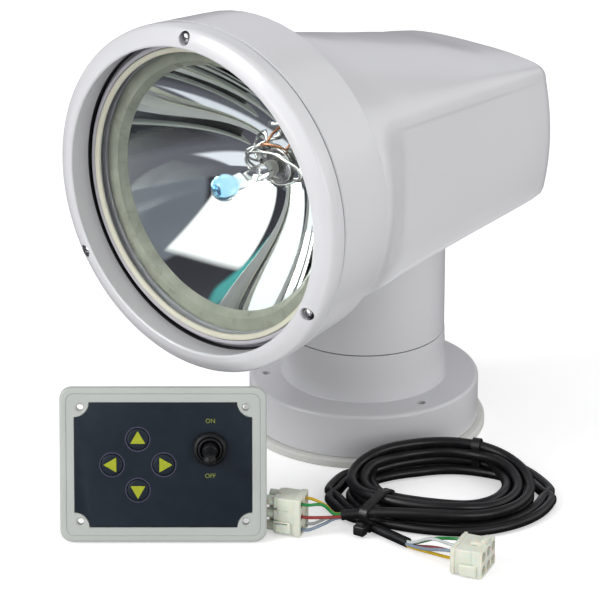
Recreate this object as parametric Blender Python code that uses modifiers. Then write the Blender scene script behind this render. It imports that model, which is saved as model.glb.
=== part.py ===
"""Remote control searchlight with its control panel and its extension cable.

Metres, +Z up. The lamp turns about Z at the origin, and its beam points along -Y at rest.
The panel and the cable lie in front of the lamp in a frame of their own, set_frame.
"""
import math

import bmesh
import bpy
from mathutils import Matrix, Vector

# Fits
GAP = 0.0003
SLIDE_FIT = 0.0004
ROUND = 40
MEDIUM_ROUND = 24
SMALL_ROUND = 12

# Base
FLANGE_RADIUS = 0.0575
FLANGE_TOP = 0.0266
FLANGE_EDGE = 0.0030
BASE_WALL = 0.0030
NECK_RADIUS = 0.0403
NECK_FILLET = 0.0025
NECK_HEIGHT = 0.0240
NECK_TOP = FLANGE_TOP + NECK_HEIGHT
NECK_PLATE = 0.0046
GASKET_RADIUS = 0.0610
GASKET_BORE = 0.0430
GASKET_HEIGHT = 0.0040
GASKET_CHAMFER = 0.0014
BASE_PLATE_THICKNESS = 0.0030
MOUNT_HOLES = 3
MOUNT_HOLE_CIRCLE = 0.0490
MOUNT_HOLE_RADIUS = 0.0023
MOUNT_BOSS_RADIUS = 0.0045
MOUNT_HOLE_TURN = math.radians(-15.4)
PLATE_SCREWS = 3
PLATE_SCREW_CIRCLE = 0.0375
PLATE_SCREW_TURN = math.radians(41.0)
PLATE_SCREW_SHANK = 0.0015
PLATE_SCREW_HEAD = 0.0030
PLATE_SCREW_HEAD_HEIGHT = 0.0016
PLATE_SCREW_LENGTH = 0.0100
PLATE_BOSS_RADIUS = 0.0042
GLAND_RADIUS = 0.0048
GLAND_LIP = 0.0017
GLAND_BORE = 0.0026
GLAND_EDGE = 0.0010
GLAND_PLACE = (0.0160, -0.0080, 0.0)
GLAND_HEIGHT = 0.0090

# Pan drive
SPINDLE_RADIUS = 0.0087
SPINDLE_BORE = 0.0058
SPINDLE_FLANGE = 0.0160
SPINDLE_FLANGE_THICKNESS = 0.0032
BUSH_WALL = 0.0022
BUSH_FLANGE = 0.0145
SEAM_GAP = 0.0012
SEAL_WIDTH = 0.0034
SEAL_INSET = 0.0007
GEAR_MODULE = 0.0010
PAN_GEAR_TEETH = 40
PAN_PINION_TEETH = 10
PAN_GEAR_LOW = FLANGE_TOP + 0.0024
GEAR_THICKNESS = 0.0050
GEAR_HUB_RADIUS = 0.0118
NUT_HEIGHT = 0.0048
NUT_RADIUS = 0.0122
MOTOR_RADIUS = 0.0115
MOTOR_SHAFT = 0.0020
MOTOR_COLLAR = 0.0044
MOTOR_COLLAR_HEIGHT = 0.0012
PAN_MOTOR_TURN = math.radians(135.0)
PAN_MOTOR_TOP = PAN_GEAR_LOW - 0.0028
SPINDLE_TAIL = 0.0010

# Turret and tilt
TURRET_RADIUS = 0.0401
TURRET_WALL = 0.0030
TURRET_FLOOR = 0.0034
TURRET_HEIGHT = 0.0632
TURRET_TOP = NECK_TOP + SEAM_GAP + TURRET_HEIGHT
DECK_THICKNESS = 0.0040
EAR_HEIGHT = 0.0307
TILT_HEIGHT = TURRET_TOP + GAP + DECK_THICKNESS + EAR_HEIGHT
EAR_INSIDE = 0.0240
EAR_THICKNESS = 0.0060
EAR_HALF_WIDTH = 0.0130
AXLE_RADIUS = 0.0050
TILT_BUSH_WALL = 0.0014
TILT_BUSH_FLANGE = 0.0088
TILT_BUSH_FLANGE_THICKNESS = 0.0012
AXLE_HALF_LENGTH = 0.0485
SECTOR_TEETH = 48
TILT_PINION_TEETH = 12
SECTOR_THICKNESS = 0.0050
SECTOR_HALF_TEETH = 6
SECTOR_HUB = 0.0100
TILT_MOTOR_RADIUS = 0.0105
TILT_DRIVE_DISTANCE = (SECTOR_TEETH + TILT_PINION_TEETH) * GEAR_MODULE / 2.0
TILT_DRIVE_TURN = math.acos((EAR_HEIGHT - TILT_MOTOR_RADIUS - GAP) / TILT_DRIVE_DISTANCE)
WIRE_HOLE_RADIUS = 0.0050

# Lamp head, with distances along the beam measured forward from the pan axis
LAMP_RISE = 0.0059
LAMP_HEIGHT = TILT_HEIGHT + LAMP_RISE
DRUM_FRONT = 0.1172
DRUM_LENGTH = 0.0352
DRUM_BACK = DRUM_FRONT - DRUM_LENGTH
DRUM_FRONT_RADIUS = 0.0845
DRUM_TAPER = 0.0040
DRUM_BACK_RADIUS = DRUM_FRONT_RADIUS - DRUM_TAPER
HOUSING_WALL = 0.0028
DRUM_EDGE = 0.0012
RING_SEAM = 0.0018
RING_BACK = DRUM_FRONT + RING_SEAM
RING_DEPTH = 0.0117
RING_FRONT = RING_BACK + RING_DEPTH
RING_THROAT_DEPTH = 0.0169
RING_INNER_BACK = RING_FRONT - RING_THROAT_DEPTH
RING_BACK_RADIUS = DRUM_FRONT_RADIUS
RING_DRAFT = 0.0005
RING_RADIUS = RING_BACK_RADIUS + RING_DRAFT
RING_FACE = 0.0099
RING_OPENING = RING_RADIUS - RING_FACE
RING_THROAT_STEP = 0.0018
RING_THROAT = RING_OPENING + RING_THROAT_STEP
RING_FACE_DROP = 0.0034
RING_WALL = 0.0026
RING_LIP = 0.0008
RING_LIP_DEPTH = 0.0006
RING_CROWN_INSET = 0.0038
RING_SHOULDER = 0.0030
RING_EDGE = 0.0010
RING_THROAT_WALL = 0.0012
SEAM_SEAL_INSET = 0.0006
RING_SCREWS = 3
RING_SCREW_INSET = 0.0048
RING_SCREW_CIRCLE = RING_RADIUS - RING_SCREW_INSET
RING_SCREW_TURN = math.radians(92.0)
RING_SCREW_HEAD = 0.0025
RING_SCREW_HEAD_HEIGHT = 0.0016
RING_SPOT_FACE = 0.0029
RING_SCREW_SHANK = 0.0013
RING_BOSS_RADIUS = 0.0023
RING_BOSS_DEPTH = 0.0042
RING_BOSS_LENGTH = 0.0090
RING_BOSS_TOP = DRUM_FRONT - RING_BOSS_DEPTH
RING_BOSS_LOW = RING_BOSS_TOP - RING_BOSS_LENGTH
RING_SCREW_END = 0.0010
RING_PAD = 0.0012
RING_PAD_RIM = 0.0004
LENS_COVER = 0.0036
LENS_RADIUS = RING_OPENING - LENS_COVER
LENS_THICKNESS = 0.0036
LENS_CROWN = 0.0012
LENS_HOLD = 0.0025
GASKET_LIP_RADIUS = LENS_RADIUS - LENS_HOLD
GASKET_CLEAR = 0.0005
GASKET_OUTER = RING_OPENING - GASKET_CLEAR
GASKET_FOOT_REACH = 0.0007
GASKET_FOOT = RING_THROAT + GASKET_FOOT_REACH
GASKET_FOOT_THICKNESS = 0.0030
GASKET_LIP = 0.0016
GASKET_LIP_DRAFT = 0.0006
GASKET_SHOULDER = 0.0020
GASKET_SHOULDER_DROP = 0.0012
RIM_BAND = 0.0070
REFLECTOR_RADIUS = GASKET_LIP_RADIUS - RIM_BAND
REFLECTOR_FOCUS = 0.0220
REFLECTOR_WALL = 0.0015
REFLECTOR_RIM = RING_INNER_BACK - GASKET_FOOT_THICKNESS - REFLECTOR_WALL - 2.0 * GAP
REFLECTOR_EDGE = 0.0006
SKIRT_INSET = 0.0008
REFLECTOR_SKIRT = GASKET_OUTER - SKIRT_INSET
SKIRT_DEPTH = 0.0077
SEAT_FRONT = REFLECTOR_RIM - SKIRT_DEPTH
SEAT_THICKNESS = 0.0030
SEAT_LEDGE = 0.0038
SEAT_RADIUS = REFLECTOR_SKIRT - SEAT_LEDGE
BULB_HOLE = 0.0110
HOLDER_RADIUS = 0.0150
HOLDER_LENGTH = 0.0070
HOLDER_RIM = 0.0020
HOLDER_STEP = 0.0022
HOLDER_SLOPE = 0.0012
BULB_BASE_RADIUS = 0.0088
BULB_BASE_LENGTH = 0.0160
BULB_BASE_RISE = 0.0030
BULB_BASE_EDGE = 0.0008
BULB_BASE_SHOULDER = 0.0105
BULB_BASE_SLOPE = 0.0005
BULB_RADIUS = 0.0066
BULB_STEM_RADIUS = 0.0040
BULB_STEM_FOOT = 0.0020
BULB_SHOULDER = 0.0010
BULB_CLEAR = 0.0012
CLIP_WIRE = 0.0006
CLIP_REACH = 0.0048
CLIP_HALF_GAP = 0.0030
CLIP_SPREAD = 0.0066
CLIP_BOW = 0.0074
CLIP_NOSE = 0.0014
CLIP_NOSE_RISE = 0.0008
AXLE_BOSS_RADIUS = 0.0090
AXLE_BOSS_INSIDE = 0.0425

# The cowl's mouth at the drum's back, by how far it lies inside the drum's circle
COWL_MOUTH_INSET = 0.0165
COWL_LOW_INSET = 0.0351
COWL_CREASE_INSET = 0.0409
COWL_CROWN_INSET = 0.0134

# Cowl sections from front to back: distance behind the drum, half width,
# heights of the open lower edge, the crease and the crown over the lamp's axis, and how flat the crown is
COWL_SECTIONS = (
    (0.0, DRUM_BACK_RADIUS - COWL_MOUTH_INSET, COWL_LOW_INSET - DRUM_BACK_RADIUS,
     DRUM_BACK_RADIUS - COWL_CREASE_INSET, DRUM_BACK_RADIUS - COWL_CROWN_INSET, 2.0),
    (0.0320, 0.0620, -0.0451, 0.0361, 0.0606, 2.1),
    (0.0620, 0.0585, -0.0454, 0.0326, 0.0526, 2.2),
    (0.0920, 0.0547, -0.0461, 0.0289, 0.0441, 2.3),
    (0.1220, 0.0508, -0.0471, 0.0253, 0.0356, 2.5),
    (0.1520, 0.0468, -0.0481, 0.0213, 0.0263, 2.8),
    (0.1670, 0.0445, -0.0485, 0.0186, 0.0223, 3.0),
    (0.1720, 0.0425, -0.0479, 0.0163, 0.0196, 3.0),
    (0.1755, 0.0380, -0.0459, 0.0111, 0.0141, 3.0),
    (0.1778, 0.0260, -0.0399, 0.0001, 0.0031, 3.0),
)
BOTTOM_STEPS = 12
WALL_STEPS = 6
CROWN_STEPS = 12

# Control panel, in its own frame: X to the right, Y up the plate, Z out of its face
SET_TURN = math.radians(40.0)
PANEL_SIDE = 0.0965
PANEL_AHEAD = 0.0547
PANEL_PLACE = (-PANEL_SIDE, -RING_RADIUS - PANEL_AHEAD)
PANEL_LEAN = math.radians(14.0)
PANEL_WIDTH = 0.0975
PANEL_HEIGHT = 0.0741
PANEL_THICKNESS = 0.0044
PANEL_CORNER = 0.0057
OVERLAY_WIDTH = 0.0836
OVERLAY_HEIGHT = 0.0597
OVERLAY_NOTCH = 0.0071
OVERLAY_CLEAR = 1.004
OVERLAY_THICKNESS = 0.0005
RECESS_DEPTH = 0.0006
PANEL_HOLE_INSET = 0.0097
PANEL_HOLE_RADIUS = 0.0016
BUTTON_CENTRE = (-0.0119, 0.0372)
BUTTON_PITCH = 0.0122
BUTTON_RADIUS = 0.0050
BUTTON_PROUD = 0.0008
BUTTON_TRAVEL = 0.0008
BUTTON_FLANGE = 0.0062
BUTTON_FLANGE_THICKNESS = 0.0012
BUTTON_STEM_RADIUS = 0.0020
BUTTON_STEM = 0.0030
BUTTON_EDGE = (0.0006, 0.0005)
SWITCH_HEIGHT = 0.0016
SWITCH_RADIUS = 0.0026
TOGGLE_CENTRE = (0.0222, 0.0449)
TOGGLE_THROW = math.radians(26.0)
TOGGLE_BALL = 0.0043
TOGGLE_TIP = 0.0031
TOGGLE_REACH = 0.0160
TOGGLE_BUSHING = 0.0058
TOGGLE_BUSHING_WALL = 0.0009
TOGGLE_NUT_RADIUS = 0.0080
TOGGLE_NUT_HEIGHT = 0.0032
TOGGLE_NUT_EDGE = (0.0012, 0.0010)
TOGGLE_PIVOT_RISE = 0.0010
TOGGLE_BUSHING_DROP = 0.0006
TOGGLE_NECKS = (0.0085, 0.0052, 0.0022)
TOGGLE_BODY = (0.0130, 0.0190, 0.0130)
TOGGLE_BODY_EDGE = 0.0006
TOGGLE_SLOT_CLEAR = 0.0010
BOX_WIDTH = 0.0695
BOX_HEIGHT = 0.0545
BOX_DEPTH = 0.0220
BOX_WALL = 0.0020
BOX_CORNER = 0.0030
BOARD_THICKNESS = 0.0016
BOARD_MARGIN = 0.0012
POST_RADIUS = 0.0024
BOX_SCREW_RADIUS = 0.0013
BOX_SCREW_HEAD = 0.0024
BOX_SCREW_HEAD_HEIGHT = 0.0009
BOX_SCREW_GRIP = 0.0040
PANEL_GLAND_RADIUS = 0.0038
PANEL_GLAND_LIP = 0.0014
PANEL_GLAND_LIP_HEIGHT = 0.0012
PANEL_GLAND_BORE = 0.0019

# Cable, in set_frame
CABLE_RADIUS = 0.00245
CABLE_CLEAR = 0.0006

# Places round the wound bundle: middle of the bundle, half its width and the height of its top
COIL_PLACES = (
    (0.0835, -0.0980, 0.0110, 0.0115),
    (0.0720, -0.0690, 0.0072, 0.0140),
    (0.0570, -0.0592, 0.0052, 0.0175),
    (0.0380, -0.0572, 0.0048, 0.0205),
    (0.0215, -0.0640, 0.0047, 0.0220),
    (0.0055, -0.0682, 0.0050, 0.0205),
    (-0.0080, -0.0765, 0.0070, 0.0165),
    (-0.0122, -0.0960, 0.0108, 0.0135),
    (-0.0045, -0.1150, 0.0095, 0.0150),
    (0.0125, -0.1270, 0.0075, 0.0155),
    (0.0370, -0.1325, 0.0085, 0.0150),
    (0.0620, -0.1285, 0.0100, 0.0130),
    (0.0780, -0.1150, 0.0110, 0.0120),
)
COIL_BOTTOM = 0.0014
COIL_STEPS = 4
COIL_CHAMFER = 0.0016
TIE_WIDTH = 0.0046
TIE_THICKNESS = 0.0009
TIE_CLEAR = 0.0008
TIE_PLACES = {"cable_tie_front": 8.6, "cable_tie_back": 2.0}
TIE_HEAD = (0.0050, 0.0046, 0.0050)
TIE_HEAD_LIFT = 0.0010
CONNECTOR_HEIGHT = 0.0195
CONNECTOR_DEPTH = 0.0140
CONNECTOR_EDGE = 0.0008
SILO_RADIUS = 0.0026
LEFT_CONNECTOR_LENGTH = 0.0120
LEFT_SILO_LENGTH = 0.0040
LEFT_CONNECTOR_PLACE = (-0.0356, -0.1300)
LEFT_CONNECTOR_TURN = math.radians(-18.0)
RIGHT_CONNECTOR_LENGTH = 0.0160
RIGHT_SOCKET_DEPTH = 0.0060
RIGHT_CONNECTOR_PLACE = (0.0482, -0.1703)
RIGHT_CONNECTOR_TURN = math.radians(-22.0)
LEFT_LEAD_START = 8.32
LEFT_LEAD_HEIGHT = 0.0090
LEFT_LEAD_END = (-0.0126, -0.1315)
RIGHT_LEAD_START = 8.98
RIGHT_LEAD_END = (0.0188, -0.1482)
WIRE_RADIUS = 0.0007
WIRE_SPREAD = 0.0013
CONTACT_GAP = 0.0006
WIRE_COLLAR = 0.0014
WIRE_STRAIGHT = 0.0030
WIRES_LEFT = ((-1, 1), (1, 1), (-1, 0), (-1, -1), (1, -1))
WIRES_RIGHT = ((-1, -1), (1, -1), (1, 0), (-1, 1), (1, 1))

part = bpy.data.collections.new("remote_control_searchlight")
cutters = bpy.data.collections.new("cutters")


def clear_scene():
    for old in list(bpy.data.objects):
        bpy.data.objects.remove(old, do_unlink=True)
    bpy.context.scene.collection.children.link(part)
    bpy.context.scene.collection.children.link(cutters)


def material(name, colour, roughness, metallic=0.0):
    made = bpy.data.materials.new(name)
    made.use_nodes = True
    shader = made.node_tree.nodes["Principled BSDF"]
    shader.inputs["Base Color"].default_value = (*colour, 1.0)
    shader.inputs["Roughness"].default_value = roughness
    shader.inputs["Metallic"].default_value = metallic
    made.diffuse_color = (*colour, 1.0)
    return made


def empty(name, place=(0.0, 0.0, 0.0), turn=(0.0, 0.0, 0.0), parent=None):
    made = bpy.data.objects.new(name, None)
    made.location = place
    made.rotation_euler = turn
    made.parent = parent
    part.objects.link(made)
    return made


def add(name, mesh, skin, parent=None, place=(0.0, 0.0, 0.0), turn=(0.0, 0.0, 0.0), cutter=False):
    made = bpy.data.objects.new(name, mesh)
    made.location = place
    made.rotation_euler = turn
    made.parent = parent
    if cutter:
        made.hide_render = True
        made.display_type = "WIRE"
        cutters.objects.link(made)
    else:
        made.data.materials.append(skin)
        part.objects.link(made)
    return made


def smooth(mesh, angle=math.radians(35.0)):
    mesh.shade_smooth()
    mesh.set_sharp_from_angle(angle=angle)


def turned(name, profile, skin, closed=True, steps=ROUND, **where):
    """Turn (radius, height) points about Z. The outer side runs downwards."""
    mesh = bpy.data.meshes.new(name)
    count = len(profile)
    edges = [(i, i + 1) for i in range(count - 1)]
    if closed:
        edges.append((count - 1, 0))
    mesh.from_pydata([(radius, 0.0, height) for radius, height in profile], edges, [])
    made = add(name + "_profile", mesh, None, cutter=True)
    screw = made.modifiers.new("Turn", "SCREW")
    screw.steps = steps
    screw.render_steps = steps
    screw.use_merge_vertices = True
    screw.merge_threshold = 0.00001
    return meshed(made, name, skin, **where)


def cylinders(name, radius, low, high, places, steps):
    shape = bmesh.new()
    for x, y in places:
        where = Matrix.Translation((x, y, (low + high) / 2.0))
        bmesh.ops.create_cone(shape, cap_ends=True, segments=steps, radius1=radius, radius2=radius,
                              depth=high - low, matrix=where)
    mesh = bpy.data.meshes.new(name)
    shape.to_mesh(mesh)
    shape.free()
    smooth(mesh)
    return mesh


def disc(name, radius, low, high, skin, steps=SMALL_ROUND, **where):
    return add(name, cylinders(name, radius, low, high, [(0.0, 0.0)], steps), skin, **where)


def pegs(name, radius, low, high, places, steps=SMALL_ROUND, parent=None):
    """Upright cylinders of one size at several (x, y) places, kept for use in a Boolean."""
    return add(name, cylinders(name, radius, low, high, places, steps), None, parent=parent, cutter=True)


def washer(name, inner, outer, low, high, skin, steps=ROUND, **where):
    return turned(name, [(inner, high), (outer, high), (outer, low), (inner, low)], skin,
                  steps=steps, **where)


def block(name, size, centre, skin, edge=0.0, segments=2, turn=(0.0, 0.0, 0.0), **where):
    shape = bmesh.new()
    bmesh.ops.create_cube(shape, size=1.0)
    for point in shape.verts:
        point.co = Vector([point.co[axis] * size[axis] for axis in range(3)])
    mesh = bpy.data.meshes.new(name)
    shape.to_mesh(mesh)
    shape.free()
    made = add(name, mesh, skin, place=centre, turn=turn, **where)
    if edge > 0.0:
        bevel = made.modifiers.new("Edges", "BEVEL")
        bevel.width = edge
        bevel.segments = segments
    return made


def plate(name, outline, low, high, skin, **where):
    """A flat outline of (x, y) points, filled and extruded from low to high."""
    curve = bpy.data.curves.new(name, "CURVE")
    curve.dimensions = "2D"
    curve.fill_mode = "BOTH"
    curve.extrude = (high - low) / 2.0
    line = curve.splines.new("POLY")
    line.points.add(len(outline) - 1)
    for point, (x, y) in zip(line.points, outline):
        point.co = (x, y, 0.0, 1.0)
    line.use_cyclic_u = True
    made = add(name + "_outline", curve, skin, cutter=True)
    made.location.z = (low + high) / 2.0
    return meshed(made, name, skin, **where)


def meshed(source, name, skin, **where):
    """Make a curve or a turned profile a closed mesh under a new name."""
    bpy.context.view_layer.update()
    evaluated = source.evaluated_get(bpy.context.evaluated_depsgraph_get())
    mesh = bpy.data.meshes.new_from_object(evaluated)
    mesh.name = name
    mesh.transform(source.matrix_world)
    shape = bmesh.new()
    shape.from_mesh(mesh)
    bmesh.ops.remove_doubles(shape, verts=shape.verts, dist=0.00002)
    bmesh.ops.recalc_face_normals(shape, faces=shape.faces)
    shape.to_mesh(mesh)
    shape.free()
    mesh.materials.clear()
    smooth(mesh)
    bpy.data.objects.remove(source, do_unlink=True)
    return add(name, mesh, skin, **where)


def tube(name, points, radius, skin, resolution=2, **where):
    curve = bpy.data.curves.new(name, "CURVE")
    curve.dimensions = "3D"
    curve.bevel_depth = radius
    curve.bevel_resolution = resolution
    curve.use_fill_caps = True
    line = curve.splines.new("POLY")
    line.points.add(len(points) - 1)
    for point, place in zip(line.points, points):
        point.co = (*place, 1.0)
    return add(name, curve, skin, **where)


def boolean(target, other, operation):
    step = target.modifiers.new(operation.title(), "BOOLEAN")
    step.operation = operation
    step.object = other
    step.solver = "EXACT"
    return target


def cut(target, cutter):
    return boolean(target, cutter, "DIFFERENCE")


def fuse(target, other):
    return boolean(target, other, "UNION")


def arc(centre, radius, start, end, steps):
    """Points of (radius, height) along an arc, angles in degrees from the outward direction."""
    points = []
    for index in range(steps + 1):
        angle = math.radians(start + (end - start) * index / steps)
        points.append((centre[0] + radius * math.cos(angle), centre[1] + radius * math.sin(angle)))
    return points


def around(circle, count, first):
    """Places on a circle about Z, with the first at this angle from -Y towards +X."""
    places = []
    for index in range(count):
        angle = first + 2.0 * math.pi * index / count
        places.append((circle * math.sin(angle), -circle * math.cos(angle)))
    return places


def rounded_rectangle(width, height, corner, centre=(0.0, 0.0), steps=5):
    points = []
    for side_x, side_y, start in ((1, 1, 0.0), (-1, 1, 90.0), (-1, -1, 180.0), (1, -1, 270.0)):
        middle = (centre[0] + side_x * (width / 2.0 - corner), centre[1] + side_y * (height / 2.0 - corner))
        points += arc(middle, corner, start, start + 90.0, steps)
    return points


def gear_outline(teeth, module, first=0.0, count=None, hub=None):
    """Teeth with straight flanks and running clearance; a part of the circle closes on a hub."""
    pitch_radius = teeth * module / 2.0
    root = pitch_radius - 1.25 * module
    tip = pitch_radius + 0.92 * module
    step = 2.0 * math.pi / teeth
    root_half = 0.335 * step
    tip_half = 0.105 * step
    points = []
    for index in range(count or teeth):
        middle = first + index * step
        for radius, offset in ((root, -root_half), (tip, -tip_half), (tip, tip_half), (root, root_half)):
            points.append((radius * math.cos(middle + offset), radius * math.sin(middle + offset)))
    if hub:
        low = first - step / 2.0
        turn = 2.0 * math.pi - (count * step)
        for index in range(13):
            angle = low - turn * (1.0 - index / 12.0)
            points.append((hub * math.cos(angle), hub * math.sin(angle)))
    return points


WHITE = material("white_gloss_plastic", (0.74, 0.74, 0.77), 0.28)
GASKET_WHITE = material("pale_rubber", (0.62, 0.62, 0.62), 0.6)
CREAM = material("cream_silicone", (0.80, 0.79, 0.66), 0.45)
BLACK_RUBBER = material("black_rubber", (0.015, 0.015, 0.016), 0.55)
GREY_PLASTIC = material("grey_plastic", (0.30, 0.31, 0.32), 0.5)
STEEL = material("stainless_steel", (0.62, 0.62, 0.62), 0.28, 1.0)
BRONZE = material("sintered_bronze", (0.46, 0.30, 0.14), 0.4, 1.0)
NYLON = material("natural_nylon", (0.70, 0.71, 0.62), 0.4)
MIRROR = material("mirror_aluminium", (0.86, 0.87, 0.88), 0.05, 1.0)
GLASS = material("clear_glass", (0.72, 0.76, 0.70), 0.03)
MOTOR_STEEL = material("zinc_plated_steel", (0.45, 0.46, 0.47), 0.35, 1.0)
PANEL_GREY = material("grey_green_plastic", (0.47, 0.51, 0.47), 0.45)
NAVY = material("navy_overlay", (0.021, 0.030, 0.042), 0.4)
BOARD_GREEN = material("circuit_board", (0.03, 0.16, 0.07), 0.5)
CABLE_BLACK = material("black_vinyl", (0.012, 0.012, 0.014), 0.35)
WIRE_COLOURS = {
    "yellow": material("yellow_vinyl", (0.62, 0.42, 0.02), 0.4),
    "green": material("green_vinyl", (0.01, 0.22, 0.05), 0.4),
}


def base_parts():
    inner = FLANGE_RADIUS - BASE_WALL
    neck_inner = NECK_RADIUS - BASE_WALL
    foot = GASKET_HEIGHT + GAP
    bush_outer = SPINDLE_RADIUS + SLIDE_FIT + BUSH_WALL
    top_hole = bush_outer + GAP
    profile = [(top_hole, NECK_TOP), (NECK_RADIUS, NECK_TOP)]
    profile += arc((NECK_RADIUS + NECK_FILLET, FLANGE_TOP + NECK_FILLET), NECK_FILLET, 180.0, 270.0, 2)
    profile += arc((FLANGE_RADIUS - FLANGE_EDGE, FLANGE_TOP - FLANGE_EDGE), FLANGE_EDGE, 90.0, 0.0, 3)
    profile += [
        (FLANGE_RADIUS, foot),
        (inner, foot),
        (inner, FLANGE_TOP - BASE_WALL),
        (neck_inner, FLANGE_TOP - BASE_WALL),
        (neck_inner, NECK_TOP - NECK_PLATE),
        (top_hole, NECK_TOP - NECK_PLATE),
    ]
    flange = turned("base_flange", profile, WHITE)
    ceiling = FLANGE_TOP - BASE_WALL / 2.0
    plate_top = BASE_PLATE_THICKNESS
    mounts = around(MOUNT_HOLE_CIRCLE, MOUNT_HOLES, MOUNT_HOLE_TURN)
    screws = around(PLATE_SCREW_CIRCLE, PLATE_SCREWS, PLATE_SCREW_TURN)
    fuse(flange, pegs("mount_bosses", MOUNT_BOSS_RADIUS, foot, ceiling, mounts))
    fuse(flange, pegs("cover_bosses", PLATE_BOSS_RADIUS, plate_top + GAP, ceiling, screws))
    gasket = turned("base_gasket", [
        (GASKET_BORE, GASKET_HEIGHT),
        (GASKET_RADIUS - GASKET_CHAMFER, GASKET_HEIGHT),
        (GASKET_RADIUS, GASKET_HEIGHT - GASKET_CHAMFER),
        (GASKET_RADIUS, 0.0),
        (GASKET_BORE, 0.0),
    ], GASKET_WHITE)
    mount_holes = pegs("mount_holes", MOUNT_HOLE_RADIUS, -foot, FLANGE_TOP + foot, mounts)
    cut(flange, mount_holes)
    cut(gasket, mount_holes)

    cover = disc("base_plate", GASKET_BORE - GAP, 0.0, plate_top, GREY_PLASTIC, steps=ROUND)
    shank_end = PLATE_SCREW_LENGTH
    head_low = GAP
    head_high = head_low + PLATE_SCREW_HEAD_HEIGHT
    shank_holes = pegs("cover_screw_holes", PLATE_SCREW_SHANK + GAP, -plate_top, shank_end + GAP, screws)
    head_holes = pegs("cover_head_holes", PLATE_SCREW_HEAD + GAP, -plate_top, head_high + GAP, screws)
    cut(cover, shank_holes)
    cut(cover, head_holes)
    cut(flange, shank_holes)
    for index, (x, y) in enumerate(screws):
        turned(f"base_screw_{index + 1}", [
            (0.0, shank_end), (PLATE_SCREW_SHANK, shank_end), (PLATE_SCREW_SHANK, head_high),
            (PLATE_SCREW_HEAD, head_high), (PLATE_SCREW_HEAD, head_low), (0.0, head_low),
        ], STEEL, closed=False, steps=SMALL_ROUND, place=(x, y, 0.0))
    gland_hole = disc("gland_hole", GLAND_RADIUS + GAP, -plate_top, 2.0 * plate_top, None,
                      place=GLAND_PLACE, cutter=True)
    cut(cover, gland_hole)
    lip = GLAND_RADIUS + GLAND_LIP
    turned("supply_gland", [
        (GLAND_BORE, GLAND_HEIGHT), (GLAND_RADIUS, GLAND_HEIGHT), (lip, GLAND_HEIGHT - GLAND_EDGE),
        (lip, plate_top + GAP), (GLAND_RADIUS, plate_top + GAP), (GLAND_RADIUS, GAP), (GLAND_BORE, GAP),
    ], BLACK_RUBBER, steps=SMALL_ROUND, place=GLAND_PLACE)

    turret_low = NECK_TOP + SEAM_GAP
    bush_inner = SPINDLE_RADIUS + SLIDE_FIT
    turned("pan_bush", [
        (bush_inner, turret_low - GAP), (BUSH_FLANGE, turret_low - GAP), (BUSH_FLANGE, NECK_TOP + GAP),
        (bush_outer, NECK_TOP + GAP), (bush_outer, NECK_TOP - NECK_PLATE - GAP),
        (bush_inner, NECK_TOP - NECK_PLATE - GAP),
    ], BRONZE, steps=MEDIUM_ROUND)
    seal_outer = NECK_RADIUS - SEAL_INSET
    washer("pan_seal", seal_outer - SEAL_WIDTH, seal_outer, NECK_TOP + GAP, turret_low - GAP, BLACK_RUBBER)

    distance = (PAN_GEAR_TEETH + PAN_PINION_TEETH) * GEAR_MODULE / 2.0
    x, y = around(distance, 1, PAN_MOTOR_TURN)[0]
    motor_low = plate_top + GAP
    shoulder = PAN_MOTOR_TOP - MOTOR_COLLAR_HEIGHT
    turned("pan_motor", [
        (0.0, PAN_MOTOR_TOP), (MOTOR_COLLAR, PAN_MOTOR_TOP), (MOTOR_COLLAR, shoulder),
        (MOTOR_RADIUS, shoulder), (MOTOR_RADIUS, motor_low), (0.0, motor_low),
    ], MOTOR_STEEL, closed=False, steps=MEDIUM_ROUND, place=(x, y, 0.0))
    axis = empty("pan_pinion_axis", (x, y, 0.0))
    step = 2.0 * math.pi / PAN_PINION_TEETH
    facing = math.atan2(-y, -x) + step / 2.0
    pinion = plate("pan_pinion", gear_outline(PAN_PINION_TEETH, GEAR_MODULE, first=facing),
                   PAN_GEAR_LOW - GAP, PAN_GEAR_LOW + GEAR_THICKNESS + GAP, NYLON, parent=axis)
    shaft = disc("pan_pinion_shaft", MOTOR_SHAFT, PAN_MOTOR_TOP + GAP, PAN_GEAR_LOW + GEAR_THICKNESS / 2.0, None,
                 steps=SMALL_ROUND, parent=axis, cutter=True)
    fuse(pinion, shaft)


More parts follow.
